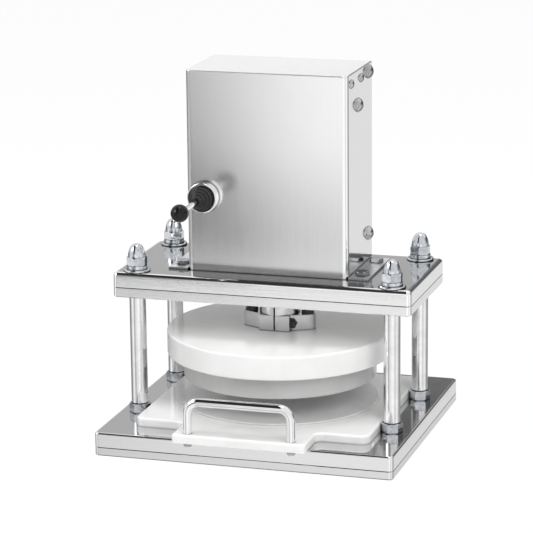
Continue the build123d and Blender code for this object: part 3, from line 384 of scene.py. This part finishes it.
@dataclass(frozen=True)
class ZincPlate(Finish):
    """Bright zinc plating with a cold tint and slightly dull edges."""

    patch_scale: ClassVar[float] = 210.0
    patch_span: ClassVar[Span] = (0.3, 0.72)
    pit_scale: ClassVar[float] = 1900.0

    light: Color = (0.83, 0.87, 0.91)
    dark: Color = (0.66, 0.70, 0.75)
    roughness: float = 0.17
    unevenness: float = 0.16
    relief: float = 0.08

    def sockets(self, graph: Graph) -> dict[str, Any]:
        """Plating that varies in tint and gloss.

        Args:
            graph: The material's graph.

        Returns:
            Values and signals by socket name.
        """
        place = graph.coordinate()
        patches = graph.noise(place, self.patch_scale, detail=4.0, rough=0.65)
        pits = graph.noise(place, self.pit_scale, detail=2.0)
        return {
            "Base Color": graph.mixed(patches.step(*self.patch_span), self.dark, self.light),
            "Metallic": 1.0,
            "Roughness": self.roughness + (patches - 0.5) * self.unevenness,
            "Normal": graph.bump(pits, self.relief, self.relief_height),
        }


@dataclass(frozen=True)
class WhitePlastic(Finish):
    """Glossy white plastic with fine scuffs, turned round or flat."""

    cloud_scale: ClassVar[float] = 22.0
    cloud_span: ClassVar[Span] = (0.35, 0.7)
    cloud_spread: ClassVar[float] = 0.06
    scuff_scale: ClassVar[float] = 260.0
    scuff_stretch: ClassVar[Point] = (1.0, 0.16, 1.0)
    scuff_span: ClassVar[Span] = (0.58, 0.75)
    scuff_spread: ClassVar[float] = 0.10
    turned_scale: ClassVar[float] = 900.0
    turned_rise: ClassVar[float] = 0.2
    flat_scale: ClassVar[float] = 700.0
    mark_spread: ClassVar[float] = 0.05

    light: Color = (0.93, 0.93, 0.925)
    dark: Color = (0.88, 0.88, 0.87)
    roughness: float = 0.17
    specular: float = 0.55
    relief: float = 0.06
    turned: bool = False

    def sockets(self, graph: Graph) -> dict[str, Any]:
        """Turning marks on the discs, and scuffs that dull the gloss.

        Args:
            graph: The material's graph.

        Returns:
            Values and signals by socket name.
        """
        place = graph.coordinate()
        clouds = graph.noise(place, self.cloud_scale, detail=4.0, rough=0.6)
        scratched = graph.stretched(place, self.scuff_stretch)
        scuffs = graph.noise(scratched, self.scuff_scale, detail=4.0, rough=0.7)
        if self.turned:
            x, y, z = graph.split(place)
            radius = (x * x + y * y) ** 0.5
            marks = graph.noise(graph.join(radius, 0.0, z * self.turned_rise), self.turned_scale, detail=2.0)
        else:
            marks = graph.noise(place, self.flat_scale, detail=2.0)
        dulled = scuffs.step(*self.scuff_span) * self.scuff_spread + (marks - 0.5) * self.mark_spread
        return {
            "Base Color": graph.mixed(clouds.step(*self.cloud_span), self.light, self.dark),
            "Roughness": self.roughness + (clouds - 0.5) * self.cloud_spread + dulled,
            "Specular IOR Level": self.specular,
            "Normal": graph.bump(marks, self.relief, self.relief_height),
        }


@dataclass(frozen=True)
class BlackPolymer(Finish):
    """Black rubber, plastic or oxide-blackened steel."""

    pore_scale: ClassVar[float] = 1500.0
    dust_scale: ClassVar[float] = 130.0
    dust_span: ClassVar[Span] = (0.35, 0.75)
    dust_spread: ClassVar[float] = 0.14
    groove_shade_span: ClassVar[Span] = (0.53, 0.48)

    light: Color = (0.030, 0.030, 0.031)
    dark: Color = (0.012, 0.012, 0.012)
    roughness: float = 0.42
    relief: float = 0.15
    specular: float = 0.35
    coat: float = 0.0
    coat_roughness: float = 0.06
    groove_shade: float = 0.0

    def sockets(self, graph: Graph) -> dict[str, Any]:
        """Fine pores, dust that greys the surface a little, and painted shade that can darken grooves below
        crests.

        Args:
            graph: The material's graph.

        Returns:
            Values and signals by socket name.
        """
        place = graph.coordinate()
        pores = graph.noise(place, self.pore_scale)
        dust = graph.noise(place, self.dust_scale, detail=4.0, rough=0.65)
        tone = graph.mixed(dust.step(*self.dust_span), self.dark, self.light)
        # Painted shade: grooves, found by their curvature, are pulled toward the shade colour.
        if self.groove_shade:
            groove = graph.pointiness().step(*self.groove_shade_span)
            tone = graph.mixed(groove * self.groove_shade, tone, self.shade)
        return {
            "Base Color": tone,
            "Roughness": self.roughness + (dust - 0.5) * self.dust_spread,
            "Specular IOR Level": self.specular,
            "Coat Weight": self.coat,
            "Coat Roughness": self.coat_roughness,
            "Normal": graph.bump(pores, self.relief, self.relief_height),
        }


@dataclass(frozen=True)
class PlainMetal(Finish):
    """Satin metal, cast or turned."""

    patch_scale: ClassVar[float] = 90.0
    patch_span: ClassVar[Span] = (0.3, 0.7)
    grain_scale: ClassVar[float] = 1300.0

    light: Color = (0.62, 0.62, 0.63)
    dark: Color = (0.44, 0.44, 0.45)
    roughness: float = 0.36
    unevenness: float = 0.16
    relief: float = 0.12

    def sockets(self, graph: Graph) -> dict[str, Any]:
        """Uneven tone with a fine grain.

        Args:
            graph: The material's graph.

        Returns:
            Values and signals by socket name.
        """
        place = graph.coordinate()
        patches = graph.noise(place, self.patch_scale, detail=5.0, rough=0.6)
        grain = graph.noise(place, self.grain_scale)
        return {
            "Base Color": graph.mixed(patches.step(*self.patch_span), self.dark, self.light),
            "Metallic": 1.0,
            "Roughness": self.roughness + (patches - 0.5) * self.unevenness,
            "Normal": graph.bump(grain, self.relief, self.relief_height),
        }


# Housing sheet: its left-facing bend is painted darker (painted shade), and its level faces take a painted
# darker tone.
FRONT_STEEL = BrushedSteel(
    "brushed_front", light=(0.96, 0.96, 0.96), dark=(0.925, 0.925, 0.925), grain=Grain.ALONG_Z,
    roughness=0.11, spread=0.03, relief=0.05, front_roughness=0.20, bend_roughness=0.25, left_bend_shade=0.75,
)
BACK_STEEL = BrushedSteel("brushed_upright", grain=Grain.ALONG_Z)
# Top deck cover: its level faces are painted darker, standing for the dark reflections on its top.
TOP_STEEL = BrushedSteel(
    "brushed_top", light=(0.97, 0.97, 0.97), dark=(0.92, 0.92, 0.92), level=(0.74, 0.74, 0.745),
    roughness=0.06, front_roughness=0.10,
)
# Base cover: a darker copy of the top deck's brushed steel, the darker tone being painted shade; its level
# faces are painted darker still, standing for dark reflections.
BASE_STEEL = BrushedSteel(
    "brushed_base", light=(0.86, 0.86, 0.86), dark=(0.80, 0.80, 0.80), level=(0.74, 0.74, 0.745),
    roughness=0.06, front_roughness=0.14,
)
PLATE_EDGE = BrushedSteel(
    "brushed_edge", light=(0.97, 0.97, 0.97), dark=(0.92, 0.92, 0.92), roughness=0.18, front_roughness=0.16,
)
# Base plate edges: a darker copy of the top plate's edge steel; the darker tone is painted shade.
BASE_EDGE = BrushedSteel(
    "brushed_base_edge", light=(0.80, 0.80, 0.80), dark=(0.74, 0.74, 0.74), roughness=0.18,
    front_roughness=0.16,
)
LID_STEEL = BrushedSteel("brushed_lid", level=(0.88, 0.88, 0.88), roughness=0.11, spread=0.03, metallic=0.7)
FOOT_STEEL = BrushedSteel("brushed_foot", level=(0.86, 0.86, 0.86), roughness=0.30)
CHROME = PolishedMetal(
    "chrome_bar", light=(0.90, 0.90, 0.905), dark=(0.85, 0.85, 0.855), roughness=0.035, relief=0.008,
    unevenness=0.03,
)
CHROME_UPRIGHT = PolishedMetal("polished_rod", grain=Grain.ALONG_Z, roughness=0.10, relief=0.03)
# Screw, rivet and nut heads: darker than the other polished metal, with a wide reach of painted shade, so
# they read darker all over and most of all beside the wall they sit on.
SCREW_HEAD = PolishedMetal(
    "screw_head", light=(0.60, 0.60, 0.61), dark=(0.40, 0.40, 0.41), reach=7.0 * MM, roughness=0.05,
    relief=0.01, unevenness=0.04,
)
ZINC = ZincPlate("bright_zinc", light=(0.76, 0.785, 0.82), dark=(0.58, 0.605, 0.64), roughness=0.08)
WHITE_TURNED = WhitePlastic("white_turned", shade=(0.30, 0.30, 0.30), roughness=0.08, turned=True)
WHITE_SHADED = WhitePlastic(
    "white_shaded", shade=(0.20, 0.20, 0.20), light=(0.54, 0.54, 0.54), dark=(0.50, 0.50, 0.495),
    roughness=0.10, turned=True,
)
WHITE_FLAT = WhitePlastic("white_flat", shade=(0.50, 0.50, 0.50), roughness=0.11)
# Pad: the tray's white plastic painted greyer, standing for the shade of the discs over it and their dark
# reflection.
WHITE_PAD = WhitePlastic(
    "white_pad", shade=(0.50, 0.50, 0.50), light=(0.84, 0.84, 0.84), dark=(0.79, 0.79, 0.785), roughness=0.10,
)
BLACK_OXIDE = BlackPolymer("black_oxide", light=(0.03, 0.03, 0.032), roughness=0.33, coat=0.2)
# Rubber of the boot and wiring: grooves and creases carry painted shade, against which the lighter crests
# stand out.
RUBBER = BlackPolymer(
    "black_rubber", reach=2.2 * MM, shade=(0.0005, 0.0005, 0.0005), light=(0.055, 0.055, 0.055),
    dark=(0.040, 0.040, 0.040), roughness=0.28, specular=0.12, groove_shade=1.0,
)
KNOB = BlackPolymer(
    "knob_gloss", light=(0.008, 0.008, 0.008), dark=(0.005, 0.005, 0.005), roughness=0.14, relief=0.02,
    specular=0.30,
)
MATT_PLASTIC = BlackPolymer("switch_plastic", roughness=0.5, relief=0.2)
SATIN = PlainMetal("satin_steel")
CLAMP_STEEL = PlainMetal(
    "clamp_steel", light=(0.72, 0.72, 0.725), dark=(0.66, 0.66, 0.665), roughness=0.24, relief=0.06,
)
CAST = PlainMetal("cast_metal", light=(0.66, 0.66, 0.67), roughness=0.45, relief=0.3)
BRONZE = PlainMetal("turned_bronze", light=(0.66, 0.48, 0.24), dark=(0.48, 0.33, 0.15))


@dataclass
class SubAssembly:
    """Some CAD nodes that belong together, with the finish of each."""

    finishes: dict[str, Finish]

    def build(self) -> None:
        """Makes the pieces that stand for CAD nodes. Most sub-assemblies have none."""

    def dress(self) -> None:
        """Gives every CAD node of the sub-assembly its finish."""
        for node, finish in self.finishes.items():
            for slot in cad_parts[node].material_slots:
                slot.material = finish.material()


@dataclass
class Base(SubAssembly):
    """Bottom plate, its cover and what is inside."""

    finishes: dict[str, Finish] = field(default_factory=lambda: {
        "base_plate": BASE_EDGE,
        "base_cover": BASE_STEEL,
        "base_spacers": SATIN,
        "base_stiffeners": SATIN,
    })


@dataclass
class Columns(SubAssembly):
    """Columns with their nuts and washers."""

    finishes: dict[str, Finish] = field(default_factory=lambda: {
        "column_front_left": CHROME_UPRIGHT,
        "column_front_right": CHROME_UPRIGHT,
        "column_rear_left": CHROME_UPRIGHT,
        "column_rear_right": CHROME_UPRIGHT,
        "column_jam_nuts": ZINC,
        "column_flat_washers": ZINC,
        "column_spring_washers": ZINC,
        "column_cap_nuts": ZINC,
    })


@dataclass
class TopDeck(SubAssembly):
    """Top plate, its cover and the ram's bush."""

    finishes: dict[str, Finish] = field(default_factory=lambda: {
        "top_plate": PLATE_EDGE,
        "top_cover": TOP_STEEL,
        "top_spacers": SATIN,
        "guide_bush": BRONZE,
    })


@dataclass
class Housing(SubAssembly):
    """Sheet housing with its fasteners, gland and inner frame."""

    finishes: dict[str, Finish] = field(default_factory=lambda: {
        "housing_shell": FRONT_STEEL,
        "housing_lid": LID_STEEL,
        "housing_back": BACK_STEEL,
        "lid_rivets": SCREW_HEAD,
        "housing_screws": SCREW_HEAD,
        "actuator_frame": FOOT_STEEL,
        "foot_bolts": ZINC,
        "cable_gland": MATT_PLASTIC,
        "gland_nut": MATT_PLASTIC,
    })


@dataclass
class Drive(SubAssembly):
    """Motor, gears, screw and electrical pieces inside the housing."""

    finishes: dict[str, Finish] = field(default_factory=lambda: {
        "actuator_tube": SATIN,
        "limit_switches": MATT_PLASTIC,
        "switch_rail": SATIN,
        "lead_screw": SATIN,
        "screw_gear": SATIN,
        "motor_pinion": SATIN,
        "motor_shaft": CHROME_UPRIGHT,
        "gear_housing": CAST,
        "gear_cover": CAST,
        "screw_bearings": CHROME,
        "gearbox_screws": BLACK_OXIDE,
        "motor_gearbox": SATIN,
        "motor_can": BLACK_OXIDE,
        "power_supply": CAST,
        "terminal_block": MATT_PLASTIC,
        "contact_block": MATT_PLASTIC,
        "wiring": RUBBER,
        "drive_nut": BRONZE,
    })


@dataclass
class PressHead(SubAssembly):
    """Ram, clamp and pressing discs."""

    finishes: dict[str, Finish] = field(default_factory=lambda: {
        "lower_disc": WHITE_SHADED,
        "upper_disc": WHITE_TURNED,
        "shaft_clamp": CLAMP_STEEL,
        "clamp_screw": BLACK_OXIDE,
        "disc_bolts": BLACK_OXIDE,
        "ram_tube": CHROME_UPRIGHT,
    })


@dataclass
class Tray(SubAssembly):
    """Pull-out tray with its pad and handle."""

    finishes: dict[str, Finish] = field(default_factory=lambda: {
        "tray_plate": WHITE_FLAT,
        "tray_pad": WHITE_PAD,
        "tray_handle": CHROME,
        "handle_nuts": SCREW_HEAD,
    })


@dataclass
class LeverSwitch(SubAssembly):
    """Lever with its bezel and rubber boot."""

    finishes: dict[str, Finish] = field(default_factory=lambda: {
        "joystick_body": MATT_PLASTIC,
        "joystick_bezel": CHROME,
        "lever_pivot_pin": SATIN,
        "lever_boot": RUBBER,
        "lever_rod": CHROME,
        "lever_knob": KNOB,
    })
    boot_rings: int = 4
    boot_shoulder: float = 0.30
    boot_inset: float = 1.2 * MM
    boot_tip: float = 3.6 * MM
    boot_steps: int = 96
    boot_sides: int = 72
    ridge_height: float = 1.3 * MM
    ridge_crest: float = 2.0
    ridge_sink: float = 0.6
    ridge_roundness: float = 0.8
    ridge_fade: float = 0.35

    def build(self) -> None:
        """Makes the rubber boot as a smooth ringed bellows and hides the CAD boot."""
        low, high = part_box("lever_boot")
        mesh = self.boot_mesh(low, high)
        mesh.materials.append(RUBBER.material())
        boot = bpy.data.objects.new("boot_bellows", mesh)
        bpy.context.scene.collection.objects.link(boot)
        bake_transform(boot)
        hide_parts("lever_boot")
        LOG.info("LeverSwitch: boot_bellows with %d vertices", len(mesh.vertices))

    def boot_mesh(self, low: Vector, high: Vector) -> bpy.types.Mesh:
        """Makes the bellows as rings of vertices from its rim to its tip.

        Args:
            low: Least corner of the boot's box, in metres.
            high: Greatest corner of the boot's box, in metres.

        Returns:
            The smooth mesh.
        """
        middle = (low + high) / 2
        mouth = (high.x - low.x) / 2 - self.boot_inset
        turns = [2 * math.pi * side / self.boot_sides for side in range(self.boot_sides)]
        shape = bmesh.new()
        rings = []
        for step in range(self.boot_steps + 1):
            along = step / self.boot_steps
            radius = self.boot_radius(along, mouth)
            y = high.y - (high.y - low.y) * along
            points = [(middle.x + radius * math.cos(a), y, middle.z + radius * math.sin(a)) for a in turns]
            rings.append([shape.verts.new(point) for point in points])
        for first, second in zip(rings, rings[1:]):
            for side in range(self.boot_sides):
                after = (side + 1) % self.boot_sides
                shape.faces.new((first[side], first[after], second[after], second[side]))
        bmesh.ops.recalc_face_normals(shape, faces=shape.faces)
        for face in shape.faces:
            face.smooth = True
        mesh = bpy.data.meshes.new("boot_bellows")
        shape.to_mesh(mesh)
        shape.free()
        return mesh

    def boot_radius(self, along: float, mouth: float) -> float:
        """Radius of the bellows.

        Args:
            along: Share of the way from the rim to the tip.
            mouth: Radius at the rim, in metres.

        Returns:
            The radius in metres.
        """
        if along <= self.boot_shoulder:
            return mouth
        run = (along - self.boot_shoulder) / (1.0 - self.boot_shoulder)
        plain = mouth + (self.boot_tip - mouth) * run
        wave = abs(math.sin(math.pi * self.boot_rings * run)) ** self.ridge_roundness
        fade = 1.0 - run * self.ridge_fade
        return plain + self.ridge_height * (self.ridge_crest * wave - self.ridge_sink) * fade


def stage_panel(name: str, corners: Sequence[Point]) -> tuple[bpy.types.Object, Graph]:
    """Makes a four-cornered panel of the studio with an empty material.

    Args:
        name: Name of the panel and its material.
        corners: The corners in order, in metres.

    Returns:
        The panel, and the graph of its material.
    """
    mesh = bpy.data.meshes.new(name)
    mesh.from_pydata(corners, [], [(0, 1, 2, 3)])
    material = bpy.data.materials.new(name)
    material.use_nodes = True
    mesh.materials.append(material)
    panel = bpy.data.objects.new(name, mesh)
    bpy.context.scene.collection.objects.link(panel)
    return panel, Graph(material.node_tree)


@dataclass
class Floor:
    """Pale floor that shows white and throws soft light back up."""

    side: float = 12.0
    drop: float = 0.4 * MM
    tone: Color = (0.80, 0.80, 0.80)
    white_share: float = 0.85
    white_level: float = 1.08

    def build(self) -> None:
        """Makes the floor just under the part."""
        half = self.side / 2
        level = -self.drop
        corners = [(-half, -half, level), (half, -half, level), (half, half, level), (-half, half, level)]
        floor, graph = stage_panel("floor", corners)
        matt = graph.node("ShaderNodeBsdfDiffuse", {}, {"Color": (*self.tone, 1.0)})
        white_sockets = {"Color": (1.0, 1.0, 1.0, 1.0), "Strength": self.white_level}
        white = graph.node("ShaderNodeEmission", {}, white_sockets)
        share = graph.ray(Ray.CAMERA) * self.white_share
        shown = graph.node("ShaderNodeMixShader", {}, {0: share, 1: matt, 2: white})
        graph.node("ShaderNodeOutputMaterial", {}, {"Surface": shown})
        floor.visible_glossy = False


@dataclass
class Card:
    """Graded grey card low in front of the part, left of the camera, that only reflections show."""

    y: float = -0.90
    sides: Span = (-0.62, 0.02)
    heights: Span = (-0.046, 0.300)
    level: float = 1.07
    left_span: Span = (-0.150, -0.405)
    left_power: float = 1.7
    left_dark: float = 0.70
    low_span: Span = (0.138, -0.030)
    low_dark: float = 0.56
    corner_gain: float = 0.80

    def build(self) -> None:
        """Makes the card, which is darker to the left and towards its foot."""
        (left, right), (low, high) = self.sides, self.heights
        corners = [(left, self.y, low), (right, self.y, low), (right, self.y, high), (left, self.y, high)]
        card, graph = stage_panel("card", corners)
        x, _, z = graph.split(graph.coordinate())
        side = x.step(*self.left_span) ** self.left_power
        below = z.step(*self.low_span)
        level = self.level - side * self.left_dark - below * (side * self.corner_gain + 1.0) * self.low_dark
        light = graph.node("ShaderNodeEmission", {}, {"Color": level.math("MAXIMUM", 0.0), "Strength": 1.0})
        graph.node("ShaderNodeOutputMaterial", {}, {"Surface": light})
        card.visible_camera = False
        card.visible_diffuse = False
        card.visible_shadow = False


@dataclass(frozen=True)
class Band:
    """A soft panel of the studio that metal reflects, by direction round the part.

    The direction is 0 in front of the part and grows towards its right, in degrees.
    """

    core_share: ClassVar[float] = 0.35

    middle: float
    half_width: float
    gain: float

    def level(self, turn: Signal) -> Signal:
        """Brightness that the panel adds in a direction in degrees."""
        away = abs(turn - self.middle)
        return (1.0 - away.step(self.half_width * self.core_share, self.half_width)) * self.gain


@dataclass
class Surroundings:
    """What metal reflects, by direction: x towards the part's right, y towards its back, z up."""

    ambient: float = 0.45
    horizon: Span = (-0.02, 0.03)
    low_level: float = 0.93
    low_bands: Sequence[Band] = (
        Band(-122.0, 56.0, -0.64),
        Band(-56.0, 14.0, 0.15),
        Band(-33.5, 17.5, -0.38),
        Band(22.0, 24.0, 0.17),
        Band(56.0, 14.0, -0.16),
        Band(79.0, 12.0, 0.10),
        Band(130.0, 36.0, -0.50),
        Band(160.0, 40.0, -0.16),
    )
    back_level: float = 0.98
    haze: float = 0.47
    haze_foot: Span = (0.185, 0.215)
    haze_head: Span = (0.325, 0.350)
    corner_gain: float = 0.85
    corner_side: Span = (-0.275, -0.240)
    corner_foot: Span = (0.260, 0.280)
    wall_level: float = 0.12
    wall_side: Span = (-0.10, 0.03)
    wall_head: Span = (0.38, 0.46)
    front_level: float = 0.86
    front_to_back: Span = (-0.3, 0.5)
    zenith_level: float = 1.0
    zenith_edge: Span = (0.955, 0.99)
    dark_level: float = 0.03
    dark_middle: float = -0.29
    dark_side: Span = (0.16, 0.25)
    dark_back: Span = (0.24, 0.10)
    dark_head: Span = (0.985, 0.965)
    dark_haze: float = 0.15
    dark_haze_head: Span = (0.50, 0.28)
    softbox: Point = (-0.726, -0.472, 0.50)
    softbox_edge: Span = (0.965, 0.985)
    softbox_level: float = 6.0
    overhead_edge: Span = (0.978, 0.992)
    overhead_level: float = 3.0

    def build(self) -> None:
        """Makes the world: white to the camera, even soft light to matt surfaces, the studio to gloss."""
        world = bpy.data.worlds.new("studio")
        bpy.context.scene.world = world
        world.use_nodes = True
        graph = Graph(world.node_tree)
        x, y, z = graph.split(graph.coordinate("Generated"))
        low = self.low_light(x, y)
        studio = low + z.step(*self.horizon) * (self.high_light(x, y, z) - low)
        camera = graph.ray(Ray.CAMERA)
        glossy = graph.ray(Ray.GLOSSY)
        shown = camera + glossy * studio + (1.0 - camera - glossy) * self.ambient
        light = graph.node("ShaderNodeBackground", {}, {"Color": shown, "Strength": 1.0})
        graph.node("ShaderNodeOutputWorld", {}, {"Surface": light})

    def low_light(self, x: Signal, y: Signal) -> Signal:
        """Brightness below the horizon: soft upright panels round the part.

        Args:
            x: Share of the direction towards the part's right.
            y: Share of the direction towards its back.

        Returns:
            The brightness.
        """
        turn = x.math("ARCTAN2", y * -1.0) * math.degrees(1.0)
        level = self.low_bands[0].level(turn) + self.low_level
        for band in self.low_bands[1:]:
            level = level + band.level(turn)
        return level

    def back_light(self, x: Signal, z: Signal) -> Signal:
        """Brightness above the horizon behind the part: a pale sky with haze and a dark wall at the right.

        Args:
            x: Share of the direction towards the part's right.
            z: Share of the direction upwards.

        Returns:
            The brightness.
        """
        haze = z.step(*self.haze_foot) * (1.0 - z.step(*self.haze_head))
        corner = x.step(*self.corner_side) * z.step(*self.corner_foot)
        wall = x.step(*self.wall_side) * (1.0 - z.step(*self.wall_head))
        level = self.back_level - haze * (1.0 + corner * self.corner_gain) * self.haze
        return level + wall * (self.wall_level - level)

    def high_light(self, x: Signal, y: Signal, z: Signal) -> Signal:
        """Brightness above the horizon: sky, a dark part over the camera's left, and two soft boxes.

        Args:
            x: Share of the direction towards the part's right.
            y: Share of the direction towards its back.
            z: Share of the direction upwards.

        Returns:
            The brightness.
        """
        back = self.back_light(x, z)
        sky = y.step(*self.front_to_back) * (back - self.front_level) + self.front_level
        sky = sky + z.step(*self.zenith_edge) * (self.zenith_level - sky)
        dark = (1.0 - abs(x - self.dark_middle).step(*self.dark_side)) * y.step(*self.dark_back)
        dark = dark * z.step(*self.dark_head)
        sky = sky - dark * (sky - self.dark_level - z.step(*self.dark_haze_head) * self.dark_haze)
        box_x, box_y, box_z = self.softbox
        towards = x * box_x + y * box_y + z * box_z
        softbox = towards.step(*self.softbox_edge) * self.softbox_level
        return sky + softbox + z.step(*self.overhead_edge) * self.overhead_level


@dataclass(frozen=True)
class Lamp:
    """A square soft light that metal doesn't show."""

    name: str
    place: Point
    power: float
    side: float = 0.9

    def build(self) -> None:
        """Hangs the lamp so that it faces the middle of the part."""
        light = bpy.data.lights.new(self.name, "AREA")
        light.shape = "SQUARE"
        light.size = self.side
        light.energy = self.power
        lamp = bpy.data.objects.new(self.name, light)
        bpy.context.scene.collection.objects.link(lamp)
        middle = (CAD_BOX[0] + CAD_BOX[1]) / 2
        lamp.location = self.place
        lamp.rotation_euler = (middle - Vector(self.place)).to_track_quat("-Z", "Y").to_euler()
        lamp.visible_glossy = False


@dataclass
class PhotoCamera:
    """Camera with the photograph's place, direction and lens."""

    eye: Point = (0.7655, -2.5609, 0.8441)
    azimuth: float = 16.93
    elevation: float = 14.11
    roll: float = -0.58
    focal_pixels: float = 2685.96
    sensor: float = 36.0
    clip: Span = (0.05, 50.0)

    def build(self) -> None:
        """Makes the camera and sets it as the scene's own."""
        turn, tilt, lean = (math.radians(angle) for angle in (self.azimuth, self.elevation, self.roll))
        back = Vector((math.sin(turn) * math.cos(tilt), -math.cos(turn) * math.cos(tilt), math.sin(tilt)))
        level_right = Vector((math.cos(turn), math.sin(turn), 0.0))
        level_up = back.cross(level_right)
        right = level_right * math.cos(lean) + level_up * math.sin(lean)
        up = level_up * math.cos(lean) - level_right * math.sin(lean)
        data = bpy.data.cameras.new("camera")
        data.sensor_fit = "HORIZONTAL"
        data.sensor_width = self.sensor
        data.lens = self.focal_pixels / IMAGE_SIDE * self.sensor
        data.clip_start, data.clip_end = self.clip
        camera = bpy.data.objects.new("camera", data)
        bpy.context.scene.collection.objects.link(camera)
        columns = Matrix((right, up, back)).transposed()
        camera.matrix_world = Matrix.Translation(self.eye) @ columns.to_4x4()
        bpy.context.scene.camera = camera


@dataclass
class Studio:
    """Floor, card, surroundings, lamps and camera."""

    floor: Floor = field(default_factory=Floor)
    card: Card = field(default_factory=Card)
    surroundings: Surroundings = field(default_factory=Surroundings)
    lamps: Sequence[Lamp] = (
        Lamp("lamp_left", (-1.20, -1.00, 1.10), 5.0),
        Lamp("lamp_right", (1.05, -1.15, 1.15), 13.0),
        Lamp("lamp_top", (0.0, -0.40, 1.90), 14.5),
    )
    camera: PhotoCamera = field(default_factory=PhotoCamera)

    def build(self) -> None:
        """Makes everything round the part."""
        for thing in (self.floor, self.card, self.surroundings, *self.lamps, self.camera):
            thing.build()
            LOG.info("Studio: %s", type(thing).__name__)


def set_view() -> None:
    """Shows colours as they are, with no filmic curve."""
    bpy.context.scene.view_settings.view_transform = "Standard"


def main() -> None:
    """Builds the studio, builds and dresses every sub-assembly in order, and reports each piece."""
    logging.basicConfig(level=logging.INFO, format="%(name)s: %(message)s")
    set_view()
    Studio().build()
    for kind in (Base, Columns, TopDeck, Housing, Drive, PressHead, Tray, LeverSwitch):
        sub_assembly = kind()
        sub_assembly.build()
        sub_assembly.dress()
        for node, finish in sub_assembly.finishes.items():
            LOG.info("%s: %s in %s", kind.__name__, node, finish.name)


if __name__ == "__main__":
    main()
